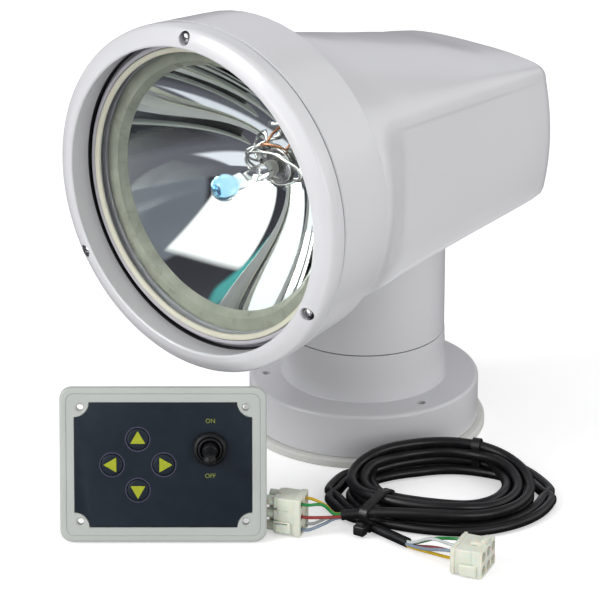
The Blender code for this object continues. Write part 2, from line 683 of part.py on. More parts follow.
def turret_parts(pan_axis):
    low = NECK_TOP + SEAM_GAP
    inner = TURRET_RADIUS - TURRET_WALL
    floor = low + TURRET_FLOOR
    hole = SPINDLE_RADIUS + GAP
    turned("turret_shell", [
        (inner, TURRET_TOP), (TURRET_RADIUS, TURRET_TOP), (TURRET_RADIUS, low), (hole, low),
        (hole, floor), (inner, floor),
    ], WHITE, parent=pan_axis)
    flange_low = floor + GAP
    flange_high = flange_low + SPINDLE_FLANGE_THICKNESS
    nut_high = PAN_GEAR_LOW - GAP
    nut_low = nut_high - NUT_HEIGHT
    end = nut_low - SPINDLE_TAIL
    turned("pan_spindle", [
        (SPINDLE_BORE, flange_high), (SPINDLE_FLANGE, flange_high), (SPINDLE_FLANGE, flange_low),
        (SPINDLE_RADIUS, flange_low), (SPINDLE_RADIUS, end), (SPINDLE_BORE, end),
    ], STEEL, steps=MEDIUM_ROUND, parent=pan_axis)
    gear_high = PAN_GEAR_LOW + GEAR_THICKNESS
    hub_high = NECK_TOP - NECK_PLATE - 2.0 * GAP
    motor_x, motor_y = around(1.0, 1, PAN_MOTOR_TURN)[0]
    gear = plate("pan_gear", gear_outline(PAN_GEAR_TEETH, GEAR_MODULE, first=math.atan2(motor_y, motor_x)),
                 PAN_GEAR_LOW, gear_high, NYLON, parent=pan_axis)
    fuse(gear, disc("pan_gear_hub", GEAR_HUB_RADIUS, gear_high - 0.001, hub_high, None, steps=MEDIUM_ROUND,
                    parent=pan_axis, cutter=True))
    cut(gear, disc("pan_gear_bore", SPINDLE_RADIUS + GAP, 0.0, NECK_TOP, None, steps=MEDIUM_ROUND,
                   parent=pan_axis, cutter=True))
    nut = disc("spindle_nut", NUT_RADIUS, nut_low, nut_high, STEEL, steps=6, parent=pan_axis)
    cut(nut, disc("nut_bore", SPINDLE_RADIUS + GAP, 0.0, nut_high + GAP, None, steps=MEDIUM_ROUND,
                  parent=pan_axis, cutter=True))

    deck_low = TURRET_TOP + GAP
    deck_high = deck_low + DECK_THICKNESS
    yoke = disc("tilt_yoke", TURRET_RADIUS, deck_low, deck_high, GREY_PLASTIC, steps=ROUND, parent=pan_axis)
    ear_reach = TILT_HEIGHT - deck_high + DECK_THICKNESS / 2.0
    ear_outline = arc((0.0, 0.0), EAR_HALF_WIDTH, 90.0, 270.0, 16)
    ear_outline += [(ear_reach, -EAR_HALF_WIDTH), (ear_reach, EAR_HALF_WIDTH)]
    for side, word in ((1, "right"), (-1, "left")):
        sideways = (0.0, side * math.pi / 2.0, 0.0)
        ear = plate(f"ear_{word}", ear_outline, EAR_INSIDE, EAR_INSIDE + EAR_THICKNESS, None,
                    place=(0.0, 0.0, TILT_HEIGHT), turn=(0.0, math.pi / 2.0, 0.0), parent=pan_axis, cutter=True)
        if side < 0:
            ear.location.x = -2.0 * EAR_INSIDE - EAR_THICKNESS
        fuse(yoke, ear)
        bush_inner = AXLE_RADIUS + SLIDE_FIT
        bush_outer = bush_inner + TILT_BUSH_WALL
        cut(yoke, disc(f"ear_bore_{word}", bush_outer + GAP, 0.5 * EAR_INSIDE, EAR_INSIDE + 2.0 * EAR_THICKNESS,
                       None, steps=MEDIUM_ROUND, place=(0.0, 0.0, TILT_HEIGHT), turn=sideways, parent=pan_axis, cutter=True))
        face = EAR_INSIDE + EAR_THICKNESS + GAP
        turned(f"tilt_bush_{word}", [
            (bush_inner, face + TILT_BUSH_FLANGE_THICKNESS),
            (TILT_BUSH_FLANGE, face + TILT_BUSH_FLANGE_THICKNESS), (TILT_BUSH_FLANGE, face), (bush_outer, face),
            (bush_outer, EAR_INSIDE), (bush_inner, EAR_INSIDE),
        ], BRONZE, steps=SMALL_ROUND, place=(0.0, 0.0, TILT_HEIGHT), turn=sideways, parent=pan_axis)
    cut(yoke, disc("wire_hole", WIRE_HOLE_RADIUS, deck_low - GAP, deck_high + GAP, None,
                   place=(0.0, -EAR_INSIDE, 0.0), parent=pan_axis, cutter=True))

    pinion_y = TILT_DRIVE_DISTANCE * math.sin(TILT_DRIVE_TURN)
    pinion_z = TILT_HEIGHT - TILT_DRIVE_DISTANCE * math.cos(TILT_DRIVE_TURN)
    motor_face = SECTOR_THICKNESS / 2.0 + 3.0 * GAP
    motor = disc("tilt_motor", TILT_MOTOR_RADIUS, motor_face, EAR_INSIDE - GAP, MOTOR_STEEL, steps=MEDIUM_ROUND,
                 place=(0.0, pinion_y, pinion_z), turn=(0.0, math.pi / 2.0, 0.0), parent=pan_axis)
    foot_low = deck_high + GAP
    foot_length = EAR_INSIDE - GAP - motor_face
    fuse(motor, block("tilt_motor_foot", (foot_length - GAP, 1.2 * TILT_MOTOR_RADIUS, pinion_z - foot_low),
                      (motor_face + foot_length / 2.0, pinion_y, (pinion_z + foot_low) / 2.0), None,
                      parent=pan_axis, cutter=True))
    axis = empty("tilt_pinion_axis", (0.0, pinion_y, pinion_z), (0.0, math.pi / 2.0, 0.0), pan_axis)
    step = 2.0 * math.pi / TILT_PINION_TEETH
    towards = Vector((TILT_HEIGHT - pinion_z, -pinion_y))
    facing = math.atan2(towards.y, -towards.x) + step / 2.0
    half = SECTOR_THICKNESS / 2.0
    pinion = plate("tilt_pinion", gear_outline(TILT_PINION_TEETH, GEAR_MODULE, first=facing),
                   -half, half, NYLON, parent=axis)
    fuse(pinion, disc("tilt_pinion_shaft", MOTOR_SHAFT, 0.0, motor_face - GAP, None, steps=SMALL_ROUND,
                      parent=axis, cutter=True))


def cowl_point(section, place):
    """A point of a cowl section, where place runs from 0 to 1 over wall, crown and wall."""
    behind, half, low, crease, crown, flatness = section
    steps = 2 * WALL_STEPS + CROWN_STEPS
    index = round(place * steps)
    if index <= WALL_STEPS:
        return half, low + (crease - low) * index / WALL_STEPS
    if index >= WALL_STEPS + CROWN_STEPS:
        return -half, low + (crease - low) * (steps - index) / WALL_STEPS
    across = half * math.cos(math.pi * (index - WALL_STEPS) / CROWN_STEPS)
    return across, crease + (crown - crease) * (1.0 - abs(across / half) ** flatness)


def housing_mesh():
    """The drum and the cowl as one open sheet about the tilt axis, with forward as -Y."""
    shape = bmesh.new()
    upper = 2 * WALL_STEPS + CROWN_STEPS
    first = COWL_SECTIONS[0]

    def ring(points, along):
        return [shape.verts.new((x, -along, z + LAMP_RISE)) for x, z in points]

    def bridge(one, two, count):
        for index in range(count):
            after = (index + 1) % len(one)
            shape.faces.new((one[index], one[after], two[after], two[index]))

    corner = math.atan2(first[2], first[1])
    crease = math.atan2(first[3], first[1])
    angles = [corner + (crease - corner) * i / WALL_STEPS for i in range(WALL_STEPS)]
    angles += [crease + (math.pi - 2.0 * crease) * i / CROWN_STEPS for i in range(CROWN_STEPS)]
    angles += [math.pi - crease + (crease - corner) * i / WALL_STEPS for i in range(WALL_STEPS)]
    angles += [math.pi - corner + (math.pi + 2.0 * corner) * i / BOTTOM_STEPS for i in range(BOTTOM_STEPS)]

    def circle(radius, along):
        return ring([(radius * math.cos(a), radius * math.sin(a)) for a in angles], along)

    slope = (DRUM_FRONT_RADIUS - DRUM_BACK_RADIUS) / (DRUM_FRONT - DRUM_BACK)
    drum = [
        circle(DRUM_FRONT_RADIUS, DRUM_FRONT),
        circle(DRUM_BACK_RADIUS + slope * DRUM_EDGE, DRUM_BACK + DRUM_EDGE),
        circle(DRUM_BACK_RADIUS - 0.7 * DRUM_EDGE, DRUM_BACK),
    ]
    total = len(angles)
    for one, two in zip(drum, drum[1:]):
        bridge(one, two, total)
    points = [cowl_point(first, i / upper) for i in range(upper + 1)]
    for index in range(1, BOTTOM_STEPS):
        points.append((-first[1] + 2.0 * first[1] * index / BOTTOM_STEPS, first[2]))
    mouth = ring(points, DRUM_BACK)
    bridge(drum[-1], mouth, total)
    previous = mouth[:upper + 1]
    for section in COWL_SECTIONS[1:]:
        current = ring([cowl_point(section, i / upper) for i in range(upper + 1)], DRUM_BACK - section[0])
        bridge(previous, current, upper)
        previous = current
    shape.faces.new(previous)
    bmesh.ops.recalc_face_normals(shape, faces=shape.faces)
    mesh = bpy.data.meshes.new("head_housing")
    shape.to_mesh(mesh)
    shape.free()
    smooth(mesh)
    return mesh


def head_parts(tilt_axis, lamp_frame):
    housing = add("head_housing", housing_mesh(), WHITE, parent=tilt_axis)
    wall = housing.modifiers.new("Wall", "SOLIDIFY")
    wall.thickness = HOUSING_WALL
    wall.offset = -1.0
    wall.use_even_offset = True
    drum_slope = (DRUM_FRONT_RADIUS - DRUM_BACK_RADIUS) / (DRUM_FRONT - DRUM_BACK)
    seat_outer = DRUM_BACK_RADIUS + drum_slope * (SEAT_FRONT - DRUM_BACK) - HOUSING_WALL / 2.0
    fuse(housing, washer("reflector_seat", SEAT_RADIUS, seat_outer, SEAT_FRONT - SEAT_THICKNESS, SEAT_FRONT,
                         None, steps=48, parent=lamp_frame, cutter=True))
    screw_end = RING_BOSS_LOW + RING_SCREW_END
    screw_places = []
    for index in range(RING_SCREWS):
        angle = RING_SCREW_TURN + 2.0 * math.pi * index / RING_SCREWS
        screw_places.append((RING_SCREW_CIRCLE * math.cos(angle), RING_SCREW_CIRCLE * math.sin(angle)))
    shank_hole = RING_SCREW_SHANK + GAP
    fuse(housing, pegs("ring_bosses", RING_BOSS_RADIUS, RING_BOSS_LOW, RING_BOSS_TOP, screw_places,
                       parent=lamp_frame))
    cut(housing, pegs("ring_threads", shank_hole, screw_end - GAP, RING_FRONT, screw_places, steps=12,
                      parent=lamp_frame))
    middle = COWL_SECTIONS[3][1]
    for side, word in ((1, "right"), (-1, "left")):
        sideways = (0.0, side * math.pi / 2.0, 0.0)
        fuse(housing, disc(f"axle_boss_{word}", AXLE_BOSS_RADIUS, AXLE_BOSS_INSIDE, middle - HOUSING_WALL / 2.0,
                           None, steps=MEDIUM_ROUND, turn=sideways, parent=tilt_axis, cutter=True))
        cut(housing, disc(f"axle_bore_{word}", AXLE_RADIUS + GAP, AXLE_BOSS_INSIDE - HOUSING_WALL,
                          AXLE_HALF_LENGTH + GAP, None, steps=MEDIUM_ROUND, turn=sideways, parent=tilt_axis, cutter=True))
    disc("tilt_axle", AXLE_RADIUS, -AXLE_HALF_LENGTH, AXLE_HALF_LENGTH, STEEL, steps=MEDIUM_ROUND,
         turn=(0.0, math.pi / 2.0, 0.0), parent=tilt_axis)

    step = 2.0 * math.pi / SECTOR_TEETH
    down_back = Vector((math.cos(TILT_DRIVE_TURN), math.sin(TILT_DRIVE_TURN)))
    middle_angle = math.atan2(down_back.y, down_back.x)
    count = 2 * SECTOR_HALF_TEETH + 1
    outline = gear_outline(SECTOR_TEETH, GEAR_MODULE, first=middle_angle - SECTOR_HALF_TEETH * step,
                           count=count, hub=SECTOR_HUB)
    half = SECTOR_THICKNESS / 2.0
    sector = plate("tilt_sector", outline, -half, half, NYLON,
                   turn=(0.0, math.pi / 2.0, 0.0), parent=tilt_axis)
    cut(sector, disc("sector_bore", AXLE_RADIUS + GAP, -2.0 * half, 2.0 * half, None, steps=MEDIUM_ROUND,
                     turn=(0.0, math.pi / 2.0, 0.0), parent=tilt_axis, cutter=True))

    inside = RING_FRONT - RING_WALL
    ring = turned("front_ring", [
        (RING_OPENING, RING_FRONT - RING_LIP_DEPTH), (RING_OPENING + RING_LIP, RING_FRONT),
        (RING_OPENING + RING_CROWN_INSET, RING_FRONT - 0.12 * RING_FACE_DROP),
        (RING_RADIUS - RING_SHOULDER, RING_FRONT - 0.5 * RING_FACE_DROP),
        (RING_RADIUS - 0.8 * RING_EDGE, RING_FRONT - RING_FACE_DROP + 0.4 * RING_EDGE),
        (RING_RADIUS, RING_FRONT - RING_FACE_DROP - RING_EDGE), (RING_BACK_RADIUS, RING_BACK),
        (RING_BACK_RADIUS - RING_WALL, RING_BACK), (RING_BACK_RADIUS - RING_WALL, inside - RING_FACE_DROP),
        (RING_OPENING + RING_WALL, inside),
        (RING_THROAT + RING_THROAT_WALL, RING_INNER_BACK), (RING_THROAT, RING_INNER_BACK),
    ], WHITE, parent=lamp_frame)
    head_floor = RING_FRONT - RING_SPOT_FACE
    fuse(ring, pegs("screw_pads", RING_SCREW_HEAD + RING_PAD_RIM, inside - 1.5 * RING_PAD, inside - RING_PAD_RIM,
                    screw_places, parent=lamp_frame))
    cut(ring, pegs("screw_holes", shank_hole, inside - 3.0 * RING_PAD, RING_FRONT + RING_PAD, screw_places,
                   steps=12, parent=lamp_frame))
    cut(ring, pegs("spot_faces", RING_SCREW_HEAD + GAP, head_floor - GAP, RING_FRONT + 2.0 * RING_PAD, screw_places,
                   parent=lamp_frame))
    for index, (x, y) in enumerate(screw_places):
        turned(f"ring_screw_{index + 1}", [
            (0.0, head_floor + RING_SCREW_HEAD_HEIGHT), (RING_SCREW_HEAD * 0.6, head_floor + RING_SCREW_HEAD_HEIGHT * 0.9),
            (RING_SCREW_HEAD, head_floor + RING_SCREW_HEAD_HEIGHT * 0.45), (RING_SCREW_HEAD, head_floor),
            (RING_SCREW_SHANK, head_floor), (RING_SCREW_SHANK, screw_end), (0.0, screw_end),
        ], STEEL, closed=False, steps=SMALL_ROUND, place=(x, y, 0.0), parent=lamp_frame)
    seal_outer = min(RING_BACK_RADIUS, DRUM_FRONT_RADIUS) - SEAM_SEAL_INSET
    rim = DRUM_FRONT + HOUSING_WALL * drum_slope
    washer("housing_seal", seal_outer - HOUSING_WALL + 2.0 * GAP, seal_outer, rim + GAP, RING_BACK - GAP,
           BLACK_RUBBER, parent=lamp_frame)

    flange_front = REFLECTOR_RIM + REFLECTOR_WALL
    foot_back = flange_front + GAP
    lens_back = foot_back + GASKET_LIP + GAP
    lens_front = lens_back + LENS_THICKNESS
    turned("lens_glass", [
        (0.0, lens_front + LENS_CROWN), (0.45 * LENS_RADIUS, lens_front + 0.8 * LENS_CROWN),
        (0.8 * LENS_RADIUS, lens_front + 0.36 * LENS_CROWN), (GASKET_LIP_RADIUS - GAP, lens_front),
        (LENS_RADIUS, lens_front), (LENS_RADIUS, lens_back), (0.0, lens_back),
    ], GLASS, closed=False, parent=lamp_frame)
    lip_low = lens_front + GAP
    turned("lens_gasket", [
        (GASKET_LIP_RADIUS, lip_low), (GASKET_LIP_RADIUS + GASKET_LIP_DRAFT, lip_low + GASKET_LIP),
        (GASKET_OUTER - GASKET_SHOULDER, lip_low + GASKET_LIP),
        (GASKET_OUTER, lip_low + GASKET_LIP - GASKET_SHOULDER_DROP),
        (GASKET_OUTER, foot_back + GASKET_FOOT_THICKNESS), (GASKET_FOOT, foot_back + GASKET_FOOT_THICKNESS),
        (GASKET_FOOT, foot_back), (GASKET_LIP_RADIUS, foot_back), (GASKET_LIP_RADIUS, lens_back - GAP),
        (LENS_RADIUS + GAP, lens_back - GAP), (LENS_RADIUS + GAP, lip_low),
    ], CREAM, parent=lamp_frame)

    def bowl(radius):
        return REFLECTOR_RIM - (REFLECTOR_RADIUS ** 2 - radius ** 2) / (4.0 * REFLECTOR_FOCUS)

    steps = 6
    radii = [BULB_HOLE + (REFLECTOR_RADIUS - BULB_HOLE) * i / steps for i in range(steps + 1)]
    skirt_low = SEAT_FRONT + GAP
    face = [(radius, bowl(radius)) for radius in radii]
    back = [(radius + 0.35 * REFLECTOR_WALL, bowl(radius) - REFLECTOR_WALL) for radius in radii[::2]]
    turned("reflector", face + [
        (REFLECTOR_RADIUS + REFLECTOR_EDGE, flange_front), (REFLECTOR_SKIRT, flange_front), (REFLECTOR_SKIRT, skirt_low),
        (REFLECTOR_SKIRT - REFLECTOR_WALL, skirt_low), (REFLECTOR_SKIRT - REFLECTOR_WALL, REFLECTOR_RIM),
    ] + back[::-1], MIRROR, parent=lamp_frame)
    hole_back = bowl(BULB_HOLE) - REFLECTOR_WALL
    holder_front = hole_back - GAP
    holder_back = holder_front - HOLDER_LENGTH
    base_clear = BULB_BASE_RADIUS + GAP
    turned("bulb_holder", [
        (base_clear, holder_front), (HOLDER_RADIUS, holder_front), (HOLDER_RADIUS, holder_front - HOLDER_RIM),
        (HOLDER_RADIUS - HOLDER_STEP, holder_front - HOLDER_RIM - HOLDER_SLOPE),
        (HOLDER_RADIUS - HOLDER_STEP, holder_back),
        (base_clear, holder_back),
    ], STEEL, steps=MEDIUM_ROUND, parent=lamp_frame)
    base_front = hole_back + BULB_BASE_RISE
    shoulder = base_front - BULB_BASE_SHOULDER
    base_back = base_front - BULB_BASE_LENGTH
    turned("bulb_base", [
        (0.0, base_front), (BULB_BASE_RADIUS * 0.8, base_front), (BULB_BASE_RADIUS, base_front - BULB_BASE_EDGE),
        (BULB_BASE_RADIUS, shoulder), (BULB_BASE_RADIUS * 0.7, shoulder - BULB_BASE_SLOPE),
        (BULB_BASE_RADIUS * 0.7, base_back), (0.0, base_back),
    ], STEEL, closed=False, steps=MEDIUM_ROUND, parent=lamp_frame)
    glass_low = base_front + GAP
    glass_end = lens_back - BULB_CLEAR
    ball = arc((0.0, glass_end - BULB_RADIUS), BULB_RADIUS, 65.0, -50.0, 6)
    turned("bulb_glass", [(0.0, glass_end)] + ball + [
        (BULB_STEM_RADIUS, ball[-1][1] - BULB_SHOULDER), (BULB_STEM_RADIUS, glass_low + BULB_STEM_FOOT),
        (BULB_STEM_RADIUS * 0.8, glass_low), (0.0, glass_low),
    ], GLASS, closed=False, steps=SMALL_ROUND, parent=lamp_frame)
    clip_height = base_front + CLIP_WIRE + GAP
    reach = BULB_HOLE + CLIP_REACH
    seat_gap = CLIP_WIRE + GAP
    front = bowl(reach) + seat_gap * 1.5
    high = max(clip_height, front)
    route = [(-reach, CLIP_HALF_GAP, front), (-0.6 * reach, CLIP_SPREAD, high),
             (0.0, CLIP_BOW, clip_height), (0.6 * reach, CLIP_SPREAD, high), (reach, CLIP_HALF_GAP, front),
             (reach + CLIP_NOSE, 0.0, front + CLIP_NOSE_RISE), (reach, -CLIP_HALF_GAP, front),
             (0.6 * reach, -CLIP_SPREAD, high), (0.0, -CLIP_BOW, clip_height)]
    tube("bulb_clip", route, CLIP_WIRE, STEEL, parent=lamp_frame)


def overlay_outline():
    """The dark label: a rectangle whose corners are scooped out round the screw holes."""
    half_width = OVERLAY_WIDTH / 2.0
    low = (PANEL_HEIGHT - OVERLAY_HEIGHT) / 2.0
    high = low + OVERLAY_HEIGHT
    points = []
    for x, y, start in ((half_width, high, 270.0), (-half_width, high, 0.0),
                        (-half_width, low, 90.0), (half_width, low, 180.0)):
        points += arc((x, y), OVERLAY_NOTCH, start, start - 90.0, 4)
    return points


def button_places():
    x, y = BUTTON_CENTRE
    return {"button_up": (x, y + BUTTON_PITCH), "button_left": (x - BUTTON_PITCH, y),
            "button_right": (x + BUTTON_PITCH, y), "button_down": (x, y - BUTTON_PITCH)}


def panel_parts(frame):
    middle = PANEL_HEIGHT / 2.0
    face = PANEL_THICKNESS
    shell = plate("panel_plate", rounded_rectangle(PANEL_WIDTH, PANEL_HEIGHT, PANEL_CORNER, (0.0, middle), 4),
                  0.0, face, PANEL_GREY, parent=frame)
    recess = face - RECESS_DEPTH
    recess_outline = [(x * OVERLAY_CLEAR, middle + (y - middle) * OVERLAY_CLEAR) for x, y in overlay_outline()]
    cut(shell, plate("overlay_recess", recess_outline, recess, 2.0 * face, None, parent=frame, cutter=True))
    overlay = plate("panel_overlay", overlay_outline(), recess + GAP, recess + GAP + OVERLAY_THICKNESS, NAVY,
                    parent=frame)
    corners = [(side_x * (PANEL_WIDTH / 2.0 - PANEL_HOLE_INSET), middle + side_y * (middle - PANEL_HOLE_INSET))
               for side_x in (-1, 1) for side_y in (-1, 1)]
    cut(shell, pegs("panel_holes", PANEL_HOLE_RADIUS, -face, 2.0 * face, corners, steps=12, parent=frame))

    box_low = BOX_DEPTH * math.tan(PANEL_LEAN)
    box_middle = box_low + BOX_HEIGHT / 2.0
    board_front = -(BUTTON_FLANGE_THICKNESS + BUTTON_STEM + BUTTON_TRAVEL + 3.0 * GAP + SWITCH_HEIGHT)
    board_back = board_front - BOARD_THICKNESS
    board_width = BOX_WIDTH - 2.0 * (BOX_WALL + BOARD_MARGIN)
    board_height = BOX_HEIGHT - 2.0 * (BOX_WALL + BOARD_MARGIN)
    reach_x = board_width / 2.0 - 1.3 * POST_RADIUS
    reach_y = board_height / 2.0 - 1.3 * POST_RADIUS
    posts = [(side_x * reach_x, box_middle + side_y * reach_y) for side_x, side_y in ((-1, 1), (1, -1), (-1, -1))]
    fuse(shell, pegs("board_posts", POST_RADIUS, board_front + GAP, face / 3.0, posts, parent=frame))
    hole = BUTTON_RADIUS + SLIDE_FIT
    toggle_hole = TOGGLE_BUSHING + GAP
    board = block("panel_board", (board_width, board_height, BOARD_THICKNESS),
                  (0.0, box_middle, (board_front + board_back) / 2.0), BOARD_GREEN, parent=frame)
    places = button_places()
    openings = pegs("button_holes", hole, -face, 2.0 * face, places.values(), parent=frame)
    cut(shell, openings)
    cut(overlay, openings)
    fuse(board, pegs("button_switches", SWITCH_RADIUS, board_back + GAP, board_front + SWITCH_HEIGHT,
                     places.values(), steps=12, parent=frame))
    for name, (x, y) in places.items():
        top = face + BUTTON_PROUD
        shoulder = -GAP
        flange_low = shoulder - BUTTON_FLANGE_THICKNESS
        turned(name, [
            (0.0, top), (BUTTON_RADIUS - BUTTON_EDGE[0], top), (BUTTON_RADIUS, top - BUTTON_EDGE[1]),
            (BUTTON_RADIUS, shoulder),
            (BUTTON_FLANGE, shoulder), (BUTTON_FLANGE, flange_low), (BUTTON_STEM_RADIUS, flange_low),
            (BUTTON_STEM_RADIUS, flange_low - BUTTON_STEM), (0.0, flange_low - BUTTON_STEM),
        ], NAVY, closed=False, steps=SMALL_ROUND, place=(x, y, 0.0), parent=frame)
    x, y = TOGGLE_CENTRE
    opening = disc("toggle_hole", toggle_hole, -face, 2.0 * face, None, steps=MEDIUM_ROUND, place=(x, y, 0.0),
                   parent=frame, cutter=True)
    cut(shell, opening)
    cut(overlay, opening)
    body_width, body_height, body_depth = TOGGLE_BODY
    pivot_height = face + TOGGLE_PIVOT_RISE
    nut_low = recess + GAP + OVERLAY_THICKNESS + GAP
    nut_high = nut_low + TOGGLE_NUT_HEIGHT
    bushing_top = nut_high - TOGGLE_BUSHING_DROP
    cup = TOGGLE_BUSHING - TOGGLE_BUSHING_WALL
    cup_floor = pivot_height - TOGGLE_BALL - 2.0 * GAP
    switch = block("toggle_switch", TOGGLE_BODY, (x, y, -GAP - body_depth / 2.0), GREY_PLASTIC,
                   edge=TOGGLE_BODY_EDGE, segments=1, parent=frame)
    fuse(switch, disc("toggle_bushing", TOGGLE_BUSHING, -body_depth / 2.0, bushing_top, None, steps=MEDIUM_ROUND,
                      place=(x, y, 0.0), parent=frame, cutter=True))
    cut(switch, disc("toggle_cup", cup, min(cup_floor, 0.0), 2.0 * bushing_top, None, steps=MEDIUM_ROUND,
                     place=(x, y, 0.0), parent=frame, cutter=True))
    slot = (body_width + TOGGLE_SLOT_CLEAR, body_height + TOGGLE_SLOT_CLEAR, 4.0 * BOARD_THICKNESS)
    cut(board, block("toggle_slot", slot, (x, y, board_front), None, parent=frame, cutter=True))
    turned("toggle_nut", [
        (TOGGLE_BUSHING + GAP, nut_high), (TOGGLE_NUT_RADIUS - TOGGLE_NUT_EDGE[0], nut_high),
        (TOGGLE_NUT_RADIUS, nut_high - TOGGLE_NUT_EDGE[1]), (TOGGLE_NUT_RADIUS, nut_low),
        (TOGGLE_BUSHING + GAP, nut_low),
    ], BLACK_RUBBER, steps=MEDIUM_ROUND, place=(x, y, 0.0), parent=frame)
    pivot = empty("toggle_pivot", (x, y, pivot_height), (TOGGLE_THROW / 2.0, 0.0, 0.0), frame)
    neck = TOGGLE_BALL * 0.86
    profile = [(0.0, TOGGLE_REACH)] + arc((0.0, TOGGLE_REACH - TOGGLE_TIP), TOGGLE_TIP, 60.0, 0.0, 3)
    waist, swell, foot = TOGGLE_NECKS
    profile += [(TOGGLE_TIP * 0.8, waist), (TOGGLE_TIP * 0.95, swell), (neck, foot)]
    profile += arc((0.0, 0.0), TOGGLE_BALL, 20.0, -70.0, 4) + [(0.0, -TOGGLE_BALL)]
    turned("toggle_lever", profile, BLACK_RUBBER, closed=False, steps=SMALL_ROUND, parent=pivot)

    rim = -GAP
    back = rim - (BOX_DEPTH - GAP)
    box = plate("panel_box", rounded_rectangle(BOX_WIDTH, BOX_HEIGHT, BOX_CORNER, (0.0, box_middle), 3),
                back, rim, PANEL_GREY, parent=frame)
    inner_width = BOX_WIDTH - 2.0 * BOX_WALL
    inner_height = BOX_HEIGHT - 2.0 * BOX_WALL
    cut(box, plate("box_inside", rounded_rectangle(inner_width, inner_height, BOX_CORNER / 2.0, (0.0, box_middle), 2),
                   back + BOX_WALL, rim + BOX_WALL, None, parent=frame, cutter=True))
    used = posts[:2]
    thread_end = board_front + BOX_SCREW_GRIP
    sink = back + BOX_SCREW_HEAD_HEIGHT + GAP
    box_holes = pegs("box_screw_holes", BOX_SCREW_RADIUS + GAP, back - BOX_WALL, thread_end + GAP, used, steps=12,
                     parent=frame)
    for drilled in (box, board, shell):
        cut(drilled, box_holes)
    cut(box, pegs("box_screw_sinks", BOX_SCREW_HEAD + GAP, back - 2.0 * BOX_WALL, sink + GAP, used, parent=frame))
    for index, (x, y) in enumerate(used):
        turned(f"box_screw_{index + 1}", [
            (0.0, thread_end), (BOX_SCREW_RADIUS, thread_end), (BOX_SCREW_RADIUS, sink),
            (BOX_SCREW_HEAD, sink), (BOX_SCREW_HEAD, back + GAP), (0.0, back + GAP),
        ], STEEL, closed=False, steps=12, place=(x, y, 0.0), parent=frame)
    gland_place = (0.0, box_middle, back)
    cut(box, disc("panel_gland_hole", PANEL_GLAND_RADIUS + GAP, -BOX_WALL, 2.0 * BOX_WALL, None,
                  place=gland_place, parent=frame, cutter=True))
    flange = PANEL_GLAND_RADIUS + PANEL_GLAND_LIP
    seat = BOX_WALL + GAP
    turned("panel_gland", [
        (PANEL_GLAND_BORE, seat + PANEL_GLAND_LIP_HEIGHT), (flange, seat + PANEL_GLAND_LIP_HEIGHT), (flange, seat),
        (PANEL_GLAND_RADIUS, seat), (PANEL_GLAND_RADIUS, GAP), (PANEL_GLAND_BORE, GAP),
    ], BLACK_RUBBER, steps=SMALL_ROUND, place=gland_place, parent=frame)


def coil_section(along):
    """Middle, half width and top of the bundle at a place counted along COIL_PLACES, a smooth closed run."""
    count = len(COIL_PLACES)
    span = int(math.floor(along))
    t = along - span
    a, b, c, d = [Vector(COIL_PLACES[(span + k) % count]) for k in (-1, 0, 1, 2)]
    return 0.5 * (2.0 * b + (c - a) * t + (2.0 * a - 5.0 * b + 4.0 * c - d) * t * t
                  + (3.0 * b - a - 3.0 * c + d) * t ** 3)


def coil_point(along, outward):
    """The ground point at a distance outwards from the middle of the bundle, in set_frame."""
    here = coil_section(along)
    ahead = coil_section(along + 0.05) - coil_section(along - 0.05)
    normal = Vector((ahead.y, -ahead.x)).normalized()
    return here.x + normal.x * outward, here.y + normal.y * outward


def coil_heading(along):
    ahead = coil_section(along + 0.05) - coil_section(along - 0.05)
    return math.atan2(ahead.y, ahead.x)


def coil_mesh():
    shape = bmesh.new()
    corner = COIL_CHAMFER
    rings = []
    stations = len(COIL_PLACES) * COIL_STEPS
    for index in range(stations):
        along = index / COIL_STEPS
        half, high = coil_section(along)[2:]
        outline = [(half, COIL_BOTTOM + corner), (half, high - corner), (half - corner, high),
                   (-half + corner, high), (-half, high - corner), (-half, COIL_BOTTOM + corner),
                   (-half + corner, COIL_BOTTOM), (half - corner, COIL_BOTTOM)]
        rings.append([shape.verts.new((*coil_point(along, out), height)) for out, height in outline])
    for index, ring in enumerate(rings):
        after = rings[(index + 1) % stations]
        for side in range(len(ring)):
            following = (side + 1) % len(ring)
            shape.faces.new((ring[side], after[side], after[following], ring[following]))
    bmesh.ops.recalc_face_normals(shape, faces=shape.faces)
    mesh = bpy.data.meshes.new("cable_coil")
    shape.to_mesh(mesh)
    shape.free()
    smooth(mesh)
    return mesh


def smooth_route(points, count):
    """Evenly parameterised points of a smooth curve through the given ones."""
    places = [Vector(point) for point in points]
    padded = [2.0 * places[0] - places[1]] + places + [2.0 * places[-1] - places[-2]]
    route = []
    spans = len(places) - 1
    for index in range(count + 1):
        along = spans * index / count
        span = min(int(along), spans - 1)
        t = along - span
        a, b, c, d = padded[span:span + 4]
        route.append(0.5 * (2.0 * b + (c - a) * t + (2.0 * a - 5.0 * b + 4.0 * c - d) * t * t
                            + (3.0 * b - a - 3.0 * c + d) * t ** 3))
    return route


